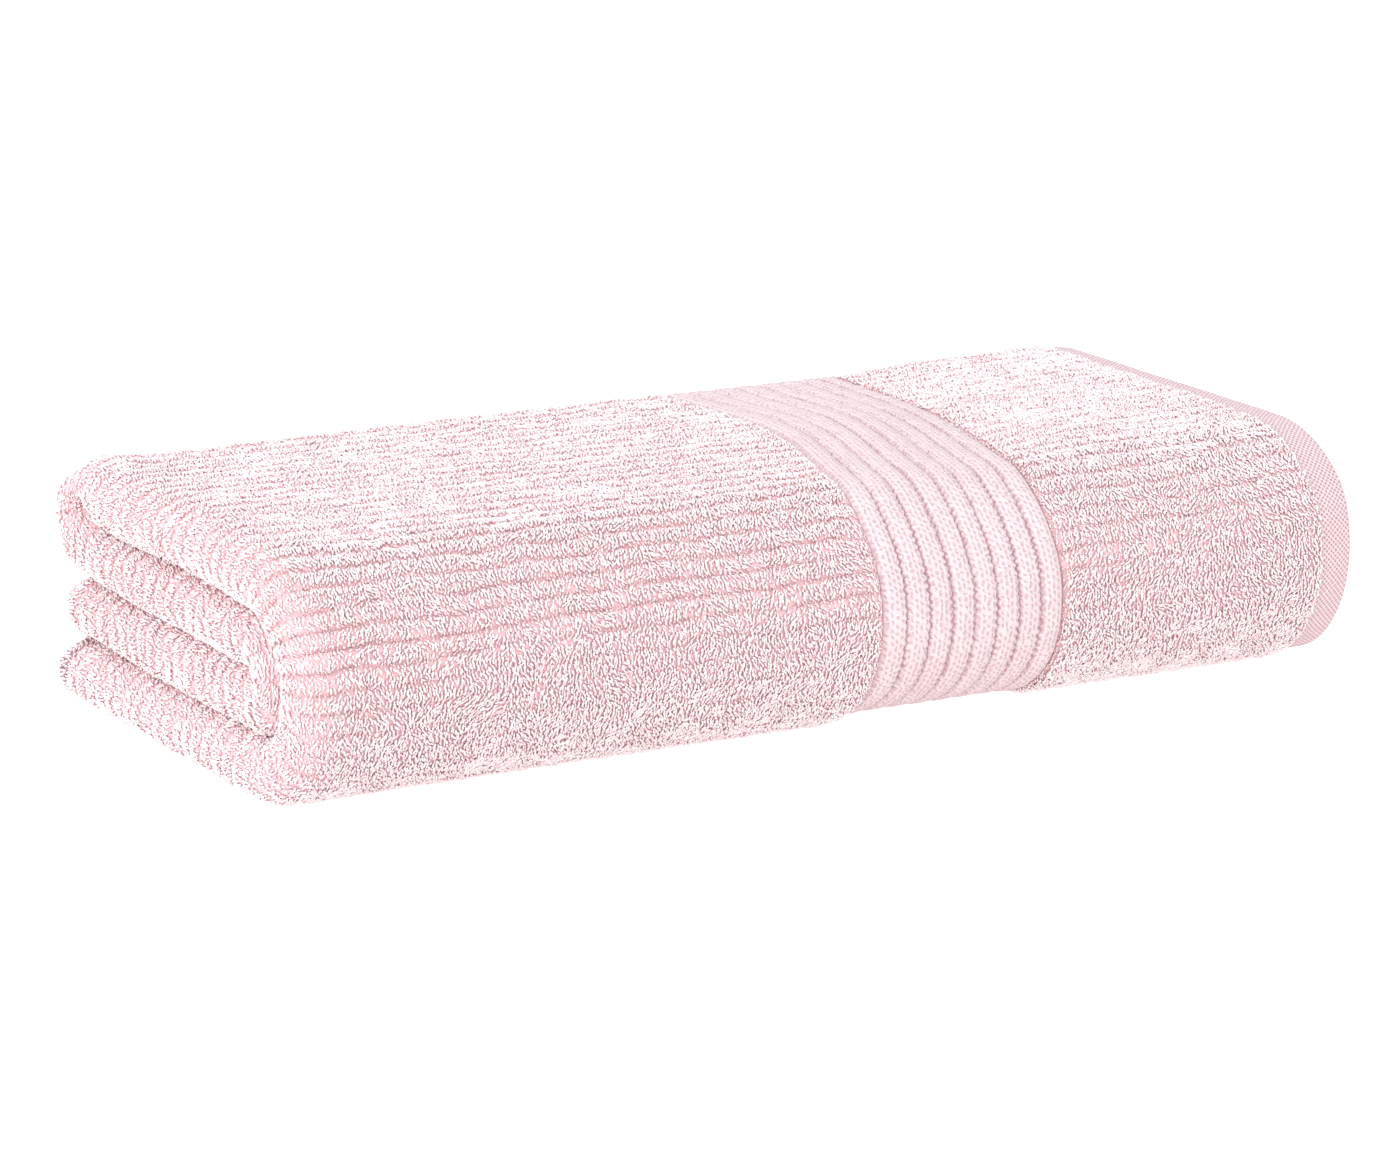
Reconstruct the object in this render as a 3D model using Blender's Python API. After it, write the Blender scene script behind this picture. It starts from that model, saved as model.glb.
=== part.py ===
r"""Bath towel, folded for the shelf: its length in quarters, then its width in quarters.

The towel is one long cloth. It is folded end to end and then in half again, which makes a strip of four
plies. The outer ply starts at the outer end hem, at the right end. It turns round the left end fold, comes
back along the underside, turns round the right end fold, runs to the inner turn inside the left end, and
comes back to the inner end hem. The strip is then folded across its width, and its four layers lie like
this, seen from the right end with the front on the left:

      _____________________
     /                     \    layer 1, the top
    |    __________________/    layer 2, joined to layer 1 by the back fold
    |   (
    |    \__________________    layer 3, joined to layer 2 by the inner fold
     \
      \_____________________    layer 4, the bottom, joined to layer 1 by the front wrap

Metres, +Z up. X runs along the pack, with the end hems at +X. The smooth front wrap is at -Y, and the free
side edges are at +Y. The origin is the centre of the pack's underside.
"""

from math import cos, pi, radians, sin

import bpy
from mathutils import Vector

# Driving sizes of the flat towel.
TOWEL_LENGTH = 1.500
TOWEL_WIDTH = 0.700
TERRY_THICKNESS = 0.0046  # both pile faces, uncompressed
HEM_WIDTH = 0.015  # the plain woven hem at each end
HEADER_WIDTH = 0.0965  # terry between an end hem and its border
BORDER_WIDTH = 0.066
BORDER_THICKNESS = 0.0032
BAND_COUNT = 8
GROOVE_WIDTH = 0.0014
GROOVE_DEPTH = 0.0007
HEM_CLOTH = 0.00075  # one layer of the pile-free cloth that is turned under
SIDE_HEM_WIDTH = 0.008
STITCH_INSET = 0.0022  # from a hem's inner edge to its stitch line
THREAD_RADIUS = 0.00025
LABEL_WIDTH = 0.030
LABEL_DROP = 0.016
LABEL_THICKNESS = 0.0004
LABEL_X = -0.050  # the label's middle along the pack

# How the pack is folded.
PLY_GAP = 0.0004  # air between two plies
EDGE_SETBACK = 0.003  # how far free side edges and the right end fold lie inside the pack's outline
INNER_HEM_SETBACK = 0.002  # how far the inner end hem lies inside the outer one
CLEARANCE = 0.0003  # between neighbouring pieces
WRAP_STEPS = 16
FOLD_STEPS = 8
TURN_STEPS = 4

# Sizes that follow from those.
PLY_PITCH = TERRY_THICKNESS + PLY_GAP
STRIP_PITCH = 4 * PLY_PITCH
STRIP_HALF = 1.5 * PLY_PITCH + TERRY_THICKNESS / 2
FOLDED_AWAY = 2.5 * pi * PLY_PITCH  # cloth that the three turns along the length take
END_ALLOWANCES = 4 * STRIP_HALF + PLY_PITCH + TERRY_THICKNESS + 2 * EDGE_SETBACK + INNER_HEM_SETBACK
PACK_LENGTH = (TOWEL_LENGTH + END_ALLOWANCES - FOLDED_AWAY) / 4
PACK_WIDTH = (TOWEL_WIDTH + 2 * EDGE_SETBACK + (7 - 2.5 * pi) * STRIP_PITCH + 6 * STRIP_HALF) / 4

RIGHT_END = PACK_LENGTH / 2
LEFT_FOLD_X = -PACK_LENGTH / 2 + STRIP_HALF
RIGHT_FOLD_X = RIGHT_END - EDGE_SETBACK - (PLY_PITCH + TERRY_THICKNESS) / 2
FRONT_FOLD_Y = -PACK_WIDTH / 2 + 1.5 * STRIP_PITCH + STRIP_HALF
BACK_FOLD_Y = PACK_WIDTH / 2 - STRIP_PITCH / 2 - STRIP_HALF
FREE_EDGE_Y = PACK_WIDTH / 2 - EDGE_SETBACK
LAYER_Z = [STRIP_HALF + STRIP_PITCH * step for step in (3, 2, 1, 0)]  # layers 1 to 4

OUTER_PLY = 1.5 * PLY_PITCH  # height of each ply over the strip's middle
INNER_PLY = 0.5 * PLY_PITCH
UNDER_PLY = -1.5 * PLY_PITCH

TURN_PITCH = HEM_CLOTH + CLEARANCE
HEM_THICKNESS = 3 * HEM_CLOTH + 2 * CLEARANCE
THREAD_LIFT = HEM_THICKNESS / 2 + CLEARANCE + THREAD_RADIUS

# The colour of each kind of cloth.
TERRY_PINK = (0.86, 0.60, 0.60, 1.0)
BORDER_PINK = (0.85, 0.59, 0.59, 1.0)
HEM_PINK = (0.80, 0.53, 0.55, 1.0)
THREAD_PINK = (0.88, 0.66, 0.66, 1.0)
LABEL_WHITE = (0.90, 0.89, 0.87, 1.0)


def clear_scene() -> None:
    """Remove every object that the file opened with."""
    for item in list(bpy.data.objects):
        bpy.data.objects.remove(item)


def new_collection(name: str) -> bpy.types.Collection:
    """Make a collection in the scene."""
    collection = bpy.data.collections.new(name)
    bpy.context.scene.collection.children.link(collection)
    return collection


def cloth_material(name: str, colour: tuple, roughness: float = 0.95) -> bpy.types.Material:
    """Make a matt material for one piece."""
    material = bpy.data.materials.new(name)
    material.use_nodes = True
    shader = material.node_tree.nodes["Principled BSDF"]
    shader.inputs["Base Color"].default_value = colour
    shader.inputs["Roughness"].default_value = roughness
    shader.inputs["Metallic"].default_value = 0.0
    return material


def arc(centre: tuple, radius: float, start: float, end: float, steps: int) -> list:
    """Corners of a polygon that hugs an arc, with the two ends of the arc added.

    The corners lie outside the arc and its sides touch it, so the first and last side carry on straight
    from what the arc joins, and arcs about one centre stay an even distance apart.
    """
    half = radians(end - start) / steps / 2
    corners = [(radius, radians(start))]
    corners += [(radius / cos(half), radians(start) + half * (2 * step + 1)) for step in range(steps)]
    corners += [(radius, radians(end))]
    return [(centre[0] + r * cos(angle), centre[1] + r * sin(angle)) for r, angle in corners]


def ribbon(line: list, thickness: float) -> list:
    """Closed outline of a ribbon of even thickness whose middle follows a line of corners."""
    points = [Vector(point) for point in line]
    sides = [(b - a).normalized() for a, b in zip(points, points[1:])]
    left = []
    right = []
    for index, point in enumerate(points):
        before = sides[max(index - 1, 0)]
        after = sides[min(index, len(sides) - 1)]
        normal = Vector((-before.y - after.y, before.x + after.x)).normalized()
        reach = thickness / 2 / normal.dot(Vector((-after.y, after.x)))
        left.append(tuple(point + normal * reach))
        right.append(tuple(point - normal * reach))
    return left + right[::-1]


def clockwise(outline: list) -> list:
    """The same outline, run clockwise, which turns a swept solid's faces outwards."""
    area = sum(a[0] * b[1] - b[0] * a[1] for a, b in zip(outline, outline[1:] + outline[:1]))
    return outline if area < 0 else outline[::-1]


def width_route(offset: float = 0.0, trim: float = 0.0) -> list:
    """The way a strip is folded across its width, as (y, z) corners from layer 3's edge to layer 4's.

    Args:
        offset: Distance from the strip's middle towards its outer ply.
        trim: How much of the strip is left off at each free edge.
    """
    edge = FREE_EDGE_Y - trim
    middle_z = (LAYER_Z[1] + LAYER_Z[2]) / 2
    upper_z = (LAYER_Z[0] + LAYER_Z[1]) / 2
    inner = arc((FRONT_FOLD_Y, middle_z), STRIP_PITCH / 2 - offset, 270, 90, FOLD_STEPS)
    back = arc((BACK_FOLD_Y, upper_z), STRIP_PITCH / 2 + offset, -90, 90, FOLD_STEPS)
    wrap = arc((FRONT_FOLD_Y, middle_z), 1.5 * STRIP_PITCH + offset, 90, 270, WRAP_STEPS)
    return [(edge, LAYER_Z[2] + offset)] + inner + back + wrap + [(edge, LAYER_Z[3] - offset)]


def length_route(start_x: float, end_x: float, offset: float = 0.0) -> list:
    """The way the towel is folded along its length, as (height over the strip's middle, x) corners.

    Args:
        start_x: Where the line starts on the outer ply.
        end_x: Where it ends on the inner ply.
        offset: Distance from the middle of the cloth towards its face side.
    """
    left = arc((0.0, LEFT_FOLD_X), OUTER_PLY + offset, 0, -180, FOLD_STEPS)
    right = arc((-PLY_PITCH, RIGHT_FOLD_X), PLY_PITCH / 2 + offset, 180, 0, FOLD_STEPS)
    turn = arc((0.0, LEFT_FOLD_X), INNER_PLY - offset, 180, 360, FOLD_STEPS)
    return [(OUTER_PLY + offset, start_x)] + left + right + turn + [(INNER_PLY - offset, end_x)]


def border_outline(start_x: float, end_x: float) -> list:
    """Outline of a border, as (height, x): a flat back, and a face with a groove between each two bands."""
    face = BORDER_THICKNESS / 2
    pitch = (end_x - start_x) / BAND_COUNT
    outline = [(-face, end_x), (-face, start_x), (face, start_x)]
    for groove in range(1, BAND_COUNT):
        middle = start_x + groove * pitch
        outline.append((face, middle - GROOVE_WIDTH / 2))
        outline.append((face - GROOVE_DEPTH, middle))
        outline.append((face, middle + GROOVE_WIDTH / 2))
    return outline + [(face, end_x)]


def turned_hem(width: float) -> list:
    """Outline of a hem turned under twice, as (height, distance in from the hem's outer edge).

    The cloth comes in on the face side, turns round the outer edge to the back, and its raw edge turns in
    again between the two.
    """
    outer_turn = TURN_PITCH + HEM_CLOTH / 2
    inner_turn = width - (TURN_PITCH + HEM_CLOTH) / 2
    line = [(TURN_PITCH, width)]
    line += arc((0.0, outer_turn), TURN_PITCH, 0, -180, TURN_STEPS)
    line += arc((-TURN_PITCH / 2, inner_turn), TURN_PITCH / 2, 180, 0, TURN_STEPS)
    line += [(0.0, outer_turn + HEM_CLOTH)]
    return ribbon(line, HEM_CLOTH)


def flat_curve(name: str, points: list, closed: bool) -> bpy.types.Object:
    """Make a curve object that lies in one plane, with straight sides between its corners."""
    data = bpy.data.curves.new(name, "CURVE")
    data.dimensions = "2D"
    data.fill_mode = "NONE"
    spline = data.splines.new("POLY")
    spline.points.add(len(points) - 1)
    for corner, (x, y) in zip(spline.points, points):
        corner.co = (x, y, 0.0, 1.0)
    spline.use_cyclic_u = closed
    return bpy.data.objects.new(name, data)


class TowelBuilder:
    """Makes the towel's pieces and puts them in their collections."""

    def __init__(self) -> None:
        self.pieces = new_collection("folded_bath_towel")
        self.guides = new_collection("folding_guides")

    def finish(self, item: bpy.types.Object, colour: tuple, roughness: float = 0.95) -> None:
        """Give a piece its material and put it with the others."""
        item.data.materials.append(cloth_material(item.name, colour, roughness))
        self.pieces.objects.link(item)

    def sweep(self, name: str, outline: list, route: list, colour: tuple, turn: tuple, place: tuple) -> None:
        """Carry a closed outline along a folded route, and close both ends.

        Args:
            name: The piece's name.
            outline: Corners of the section; x points to the right of the route, y out of its plane.
            route: Corners of the route, in its own plane.
            colour: The piece's colour.
            turn: Rotation that stands the route's plane in the pack.
            place: Where the route's own origin goes.
        """
        section = flat_curve(name + "_section", clockwise(outline), closed=True)
        section.hide_render = True
        section.display_type = "WIRE"
        self.guides.objects.link(section)
        item = flat_curve(name, route, closed=False)
        item.data.bevel_mode = "OBJECT"
        item.data.bevel_object = section
        item.data.use_fill_caps = True
        item.rotation_euler = turn
        item.location = place
        self.finish(item, colour)

    def sweep_across(self, name: str, outline: list, colour: tuple, trim: float = 0.0) -> None:
        """Carry a (height, x) section along the way the strip is folded across its width."""
        self.sweep(name, outline, width_route(trim=trim), colour, (pi / 2, 0.0, pi / 2), (0.0, 0.0, 0.0))

    def thread(self, name: str, points: list) -> None:
        """Make a line of sewing thread through points in space."""
        data = bpy.data.curves.new(name, "CURVE")
        data.dimensions = "3D"
        data.bevel_depth = THREAD_RADIUS
        data.bevel_resolution = 2
        data.use_fill_caps = True
        spline = data.splines.new("POLY")
        spline.points.add(len(points) - 1)
        for corner, point in zip(spline.points, points):
            corner.co = (*point, 1.0)
        self.finish(bpy.data.objects.new(name, data), THREAD_PINK, 0.6)

    def terry_field(self) -> None:
        """The main terry, from the outer border round the end folds to the inner border."""
        inset = HEM_WIDTH + HEADER_WIDTH + BORDER_WIDTH + 2 * CLEARANCE
        line = length_route(RIGHT_END - inset, RIGHT_END - INNER_HEM_SETBACK - inset)
        self.sweep_across("terry_field", ribbon(line, TERRY_THICKNESS), TERRY_PINK, self.side_trim)

    def end_zones(self, suffix: str, ply: float, end_x: float, face: float) -> None:
        """One end of the towel: its header, its border, its hem and the hem's stitch line.

        Args:
            suffix: Tells the two ends' names apart.
            ply: Height of the ply over the strip's middle.
            end_x: Where the towel ends.
            face: 1.0 where the towel's face side is up, or -1.0 where it is down.
        """
        header = [(ply, end_x - HEM_WIDTH - HEADER_WIDTH), (ply, end_x - HEM_WIDTH - CLEARANCE)]
        terry = ribbon(header, TERRY_THICKNESS)
        self.sweep_across("header_terry_" + suffix, terry, TERRY_PINK, self.side_trim)
        high = header[0][1] - CLEARANCE
        bands = [(ply + face * height, x) for height, x in border_outline(high - BORDER_WIDTH, high)]
        self.sweep_across("dobby_border_" + suffix, bands, BORDER_PINK, self.side_trim)
        hem = [(ply + face * height, end_x - distance) for height, distance in turned_hem(HEM_WIDTH)]
        self.sweep_across("end_hem_" + suffix, hem, HEM_PINK)
        stitch_x = end_x - HEM_WIDTH + STITCH_INSET
        route = width_route(offset=ply + face * THREAD_LIFT)
        self.thread("end_hem_thread_" + suffix, [(stitch_x, y, z) for y, z in route])

    def side_hem(self, suffix: str, layer_z: float, outward: float) -> None:
        """The hem along one long edge of the towel, which follows the four plies, and its stitch line.

        Args:
            suffix: Tells the two hems' names apart.
            layer_z: Height of the layer whose free edge this is.
            outward: 1.0 if the strip's outer ply is on top there, or -1.0 if it is below.
        """
        start_x = RIGHT_END - HEM_WIDTH - CLEARANCE
        end_x = start_x - INNER_HEM_SETBACK
        route = [(x, outward * height) for height, x in length_route(start_x, end_x)]
        hem = [(outward * height, distance) for height, distance in turned_hem(SIDE_HEM_WIDTH)]
        place = (0.0, FREE_EDGE_Y, layer_z)
        self.sweep("side_hem_" + suffix, hem, route, HEM_PINK, (pi / 2, 0.0, 0.0), place)
        stitch_y = FREE_EDGE_Y - SIDE_HEM_WIDTH + STITCH_INSET
        stitches = length_route(start_x, end_x, THREAD_LIFT)
        points = [(x, stitch_y, layer_z + outward * height) for height, x in stitches]
        self.thread("side_hem_thread_" + suffix, points)

    def care_label(self) -> None:
        """A blank label that hangs from layer 3's side hem over the edge of layer 4."""
        bpy.ops.mesh.primitive_cube_add(size=1.0)
        label = bpy.context.active_object
        label.name = "care_label"
        for collection in list(label.users_collection):
            collection.objects.unlink(label)
        top = LAYER_Z[2] + UNDER_PLY + HEM_THICKNESS / 2
        label.location = (LABEL_X, FREE_EDGE_Y + CLEARANCE + LABEL_THICKNESS / 2, top - LABEL_DROP / 2)
        label.scale = (LABEL_WIDTH, LABEL_THICKNESS, LABEL_DROP)
        self.finish(label, LABEL_WHITE, 0.7)

    @property
    def side_trim(self) -> float:
        """How far from a free edge the zones between the side hems stop."""
        return SIDE_HEM_WIDTH + CLEARANCE

    def build(self) -> None:
        """Make every piece."""
        self.terry_field()
        self.end_zones("outer", OUTER_PLY, RIGHT_END, 1.0)
        self.end_zones("inner", INNER_PLY, RIGHT_END - INNER_HEM_SETBACK, -1.0)
        self.side_hem("upper", LAYER_Z[2], 1.0)
        self.side_hem("lower", LAYER_Z[3], -1.0)
        self.care_label()


clear_scene()
TowelBuilder().build()
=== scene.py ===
"""Looks for a folded bath towel in ribbed pink terry.

Everything is made from one plan of how the flat cloth is folded. A place on the cloth is three lengths in
metres: a runs along the towel from its outer end, t runs across it from the free edge of the third layer,
and lift is how far a point stands off the middle of the cloth towards its face. The plan turns these into a
place in the pack, and a gentle distortion then takes the stiffness out of the whole.
"""

import logging
import math
from dataclasses import dataclass
from enum import Enum
from typing import Callable, Iterable, Optional, Sequence, Union

import bpy
import numpy as np
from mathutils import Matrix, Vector


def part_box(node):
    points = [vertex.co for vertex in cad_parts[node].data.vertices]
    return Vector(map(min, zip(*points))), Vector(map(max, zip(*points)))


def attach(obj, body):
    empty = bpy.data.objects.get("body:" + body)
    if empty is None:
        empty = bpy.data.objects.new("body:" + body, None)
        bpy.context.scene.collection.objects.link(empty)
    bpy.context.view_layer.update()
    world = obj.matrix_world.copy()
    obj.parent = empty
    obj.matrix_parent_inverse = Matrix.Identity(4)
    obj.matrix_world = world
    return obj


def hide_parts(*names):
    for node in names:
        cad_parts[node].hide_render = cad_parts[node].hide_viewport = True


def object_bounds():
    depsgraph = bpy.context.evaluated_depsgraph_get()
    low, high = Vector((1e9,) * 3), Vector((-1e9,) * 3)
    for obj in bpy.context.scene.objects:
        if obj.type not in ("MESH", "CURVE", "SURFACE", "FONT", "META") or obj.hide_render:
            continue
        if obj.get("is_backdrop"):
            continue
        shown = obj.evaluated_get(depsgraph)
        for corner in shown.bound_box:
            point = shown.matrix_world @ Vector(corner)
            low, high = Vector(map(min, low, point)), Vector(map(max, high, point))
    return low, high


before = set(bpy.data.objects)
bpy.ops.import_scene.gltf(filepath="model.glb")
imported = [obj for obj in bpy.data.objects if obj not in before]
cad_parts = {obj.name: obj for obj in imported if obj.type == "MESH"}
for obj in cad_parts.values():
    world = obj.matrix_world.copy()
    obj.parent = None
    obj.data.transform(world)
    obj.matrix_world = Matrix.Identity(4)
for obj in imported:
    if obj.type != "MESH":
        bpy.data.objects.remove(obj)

LOG = logging.getLogger("bath_towel")
MM = 0.001
BODY = "root"
HEM_WIDTH = 15.0 * MM
SIDE_HEM_WIDTH = 8.0 * MM
WEAVE_GAP = 0.3 * MM
HEADER_END = 111.5 * MM
BORDER_WIDTH = 66.0 * MM
BORDER_END = HEADER_END + WEAVE_GAP + BORDER_WIDTH + WEAVE_GAP
SIDE_TRIM = SIDE_HEM_WIDTH + WEAVE_GAP
CLOTH_WIDTH = 0.683


class Weave(Enum):
    """The record's material slots."""

    TERRY = "terry"
    BORDER = "border"
    HEM = "hem"
    THREAD = "thread"
    LABEL = "label"


def smooth_step(low: float, high: float, value: np.ndarray) -> np.ndarray:
    """Ease from 0 at low to 1 at high, which may be the smaller of the two."""
    share = np.clip((value - low) / (high - low), 0.0, 1.0)
    return share * share * (3.0 - 2.0 * share)


def swell(value: np.ndarray, middle: float, reach: float) -> np.ndarray:
    """Rise to 1 at the middle and fall away on both sides, to about a third at the reach."""
    return np.exp(-(((value - middle) / reach) ** 2))


def unit(vectors: np.ndarray) -> np.ndarray:
    """Bring each row to length one."""
    return vectors / np.maximum(np.linalg.norm(vectors, axis=-1, keepdims=True), 1e-12)


@dataclass(frozen=True)
class Unevenness:
    """Smooth random hills on a plane, from -1 to 1.

    Attributes:
        seed: Tells one set of hills from another.
        cell: Distance between hills in the first direction, in metres.
        stretch: How much further apart they lie in the second direction.
    """

    seed: int
    cell: float
    stretch: float = 1.0

    def at(self, first: np.ndarray, second: np.ndarray) -> np.ndarray:
        """Height of the hills at each pair of places.

        Args:
            first: Places in the first direction, in metres.
            second: Places in the second direction, in metres.

        Returns:
            Heights from -1 to 1.
        """
        size = 256
        lattice = np.random.default_rng(self.seed).uniform(-1.0, 1.0, (size, size))
        across = np.asarray(first) / self.cell + 71.3
        along = np.asarray(second) / (self.cell * self.stretch) + 33.7
        row = np.floor(across).astype(int)
        column = np.floor(along).astype(int)
        right = smooth_step(0.0, 1.0, across - row)
        up = smooth_step(0.0, 1.0, along - column)
        near_left = lattice[row % size, column % size]
        near = near_left * (1 - right) + lattice[(row + 1) % size, column % size] * right
        far_left = lattice[row % size, (column + 1) % size]
        far = far_left * (1 - right) + lattice[(row + 1) % size, (column + 1) % size] * right
        return near * (1 - up) + far * up


@dataclass(frozen=True)
class Softness:
    """How far the cloth of a real pack strays from the fold plan.

    The pack's middle is at x 0 and y 0, its left end is at minus x, its front at minus y, and it lies on z 0.

    Attributes:
        bow: How far the border leans towards the right end, at the top and back.
        spread: How much less its left side leans there.
        header_puff: How far the header stands over the border.
        end_rise: How far the top stands up at the right end.
        crown_fall: How far the top falls towards the front.
        foot_rise: How far the front clears the floor, from the border to the right end.
        border_rise: How much more it does so at the border.
        droop: How far the right end's rim hangs at the front.
        back_droop: How much more it hangs at the back.
        curl_lift: How far the upper layers rise at the back of the left end, where they curl round.
        left_foot_rise: How far the left end's foot clears the floor.
        corner_in: How far the left end's top back corner draws in.
        notch: How deep the creases between the layers cut in at the back of the left end.
        layer_in: How far the third layer hides inside the left end.
        end_in: How far the whole left end draws in.
        shoulder_out: How far the right end's front shoulder stands out.
        tuck: How far the right end's front rim turns in.
        wander: How far the sides and ends wander.
        heave: How far the layers rise and sink.
        settled: How far the pack sinks into itself.
        floor_zone: Height below which the underside is pressed flat.
    """

    bow: float = 23.0 * MM
    spread: float = 7.0 * MM
    header_puff: float = 1.4 * MM
    end_rise: float = 1.0 * MM
    crown_fall: float = 2.6 * MM
    foot_rise: float = 1.2 * MM
    border_rise: float = 1.3 * MM
    droop: float = 0.7 * MM
    back_droop: float = 0.8 * MM
    curl_lift: float = 7.2 * MM
    left_foot_rise: float = 0.3 * MM
    corner_in: float = 4.5 * MM
    notch: float = 5.4 * MM
    layer_in: float = 2.8 * MM
    end_in: float = 1.3 * MM
    shoulder_out: float = 1.8 * MM
    tuck: float = 2.2 * MM
    wander: float = 0.9 * MM
    heave: float = 0.5 * MM
    settled: float = 0.2 * MM
    floor_zone: float = 1.2 * MM

    def leaned(self, x: np.ndarray, y: np.ndarray, z: np.ndarray) -> np.ndarray:
        """How far the cloth about the border leans towards the right end.

        Args:
            x: Places along the pack.
            y: Places across it.
            z: Heights.

        Returns:
            Distances along the pack.
        """
        border = 12 * MM
        about_border = smooth_step(-190 * MM, border, x) * (1 - smooth_step(border, 189.7 * MM, x))
        toward_back = smooth_step(-94 * MM, 38 * MM, y)
        left_side = smooth_step(-20 * MM, 90 * MM, y) * smooth_step(75 * MM, 10 * MM, x)
        upper = smooth_step(30 * MM, 66 * MM, z)
        return (self.bow * toward_back - self.spread * left_side) * about_border * upper

    def rim(self, x: np.ndarray) -> np.ndarray:
        """Nearness to the right end's rim: 0 over the pack, and 1 at the rim."""
        start, reach = 172 * MM, 17.7 * MM
        return np.clip((x - start) / reach, 0.0, None) ** 2

    def top_raised(self, x: np.ndarray, y: np.ndarray, z: np.ndarray) -> np.ndarray:
        """How far the top stands over its planned height.

        Args:
            x: Places along the pack.
            y: Places across it.
            z: Heights.

        Returns:
            Distances up.
        """
        upper = smooth_step(40 * MM, 79.6 * MM, z)
        header = smooth_step(70 * MM, 110 * MM, x - self.leaned(x, y, z)) * smooth_step(-90 * MM, -30 * MM, y)
        puffed = self.header_puff * header * smooth_step(50 * MM, 80 * MM, z)
        toward_front = np.clip((20 * MM - y) / (75 * MM), 0.0, 1.5) ** 2
        fallen = self.crown_fall * toward_front * upper * (1 - 0.85 * smooth_step(130 * MM, 182 * MM, x))
        lifted = self.end_rise * smooth_step(150 * MM, 186 * MM, x) * upper
        droop = self.droop + self.back_droop * smooth_step(-58 * MM, -20 * MM, y)
        hanging = droop * self.rim(x) * smooth_step(40 * MM, 80 * MM, z)
        return puffed - fallen + lifted - hanging

    def foot_raised(self, x: np.ndarray, y: np.ndarray, z: np.ndarray) -> np.ndarray:
        """How far the foot of the pack clears the floor.

        Args:
            x: Places along the pack.
            y: Places across it.
            z: Heights.

        Returns:
            Distances up.
        """
        border = smooth_step(4 * MM, 18 * MM, x) * smooth_step(82 * MM, 70 * MM, x)
        rise = self.foot_rise * smooth_step(0.0, 20 * MM, x) + self.border_rise * border
        front = rise * smooth_step(30 * MM, 0.0, z) * smooth_step(-20 * MM, -70 * MM, y)
        left = self.left_foot_rise * smooth_step(-172 * MM, -190 * MM, x) * smooth_step(22 * MM, 0.0, z)
        return front + left

    def left_curled(self, x: np.ndarray, y: np.ndarray, z: np.ndarray) -> np.ndarray:
        """How far the upper layers rise where they curl round, at the back of the left end.

        Args:
            x: Places along the pack.
            y: Places across it.
            z: Heights.

        Returns:
            Distances up.
        """
        curl = swell(z, 60 * MM, 10.8 * MM) * smooth_step(56 * MM, 80 * MM, y)
        return self.curl_lift * curl * smooth_step(-135 * MM, -170 * MM, x)

    def left_drawn_in(self, x: np.ndarray, y: np.ndarray, z: np.ndarray) -> np.ndarray:
        """How far the left end draws in: its corner, its third layer and its creases.

        Args:
            x: Places along the pack.
            y: Places across it.
            z: Heights.

        Returns:
            Distances along the pack.
        """
        corner = smooth_step(58 * MM, 74 * MM, z) * smooth_step(45 * MM, 85 * MM, y)
        corner = self.corner_in * corner * smooth_step(-160 * MM, -186 * MM, x)
        layer = swell(z, 30 * MM, 8 * MM) * smooth_step(-72 * MM, -50 * MM, y)
        layer = self.layer_in * layer * smooth_step(-150 * MM, -176 * MM, x)
        creases = swell(z, 40 * MM, 4.2 * MM) + 0.7 * swell(z, 19.5 * MM, 3.6 * MM)
        at_back = smooth_step(20 * MM, 80 * MM, y)
        creases = self.notch * creases * at_back * smooth_step(-160 * MM, -182 * MM, x)
        whole = self.end_in * smooth_step(-150 * MM, -186 * MM, x) * smooth_step(2 * MM, 20 * MM, z)
        return corner + layer + creases + whole

    def relaxed(self, x: np.ndarray, y: np.ndarray, z: np.ndarray) -> np.ndarray:
        """Move points of the plan to where they lie in a real pack.

        Args:
            x: Places along the pack.
            y: Places across it.
            z: Heights.

        Returns:
            The same points after the distortion, with x, y and z in the last axis.
        """
        end_sway = Unevenness(11, 55 * MM).at(y + 0.7 * z, z * 1.3)
        side_sway = Unevenness(12, 60 * MM).at(x, z)
        heave = Unevenness(13, 48 * MM).at(x, y)
        moved_z = z + self.top_raised(x, y, z) + self.foot_raised(x, y, z) + self.left_curled(x, y, z)
        moved_z = moved_z + self.heave * heave * smooth_step(0.0, 60 * MM, z) - self.settled
        floor = self.floor_zone
        pressed = floor * np.exp(np.minimum((moved_z - floor) / floor, 0.0))
        moved_z = np.where(moved_z < floor, pressed, moved_z)
        shoulder = swell(z, 62 * MM, 15 * MM) * smooth_step(-50 * MM, -85 * MM, y)
        moved_x = x + self.leaned(x, y, z) + self.left_drawn_in(x, y, z)
        moved_x = moved_x + self.shoulder_out * shoulder * smooth_step(150 * MM, 187 * MM, x)
        moved_x = moved_x + self.wander * end_sway * smooth_step(0.0, 20 * MM, np.abs(x) - 130 * MM)
        tucked = self.tuck * self.rim(x) * smooth_step(-66 * MM, -94 * MM, y)
        moved_y = y + self.wander * side_sway + tucked
        return np.stack([moved_x, moved_y, moved_z], axis=-1)


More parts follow.
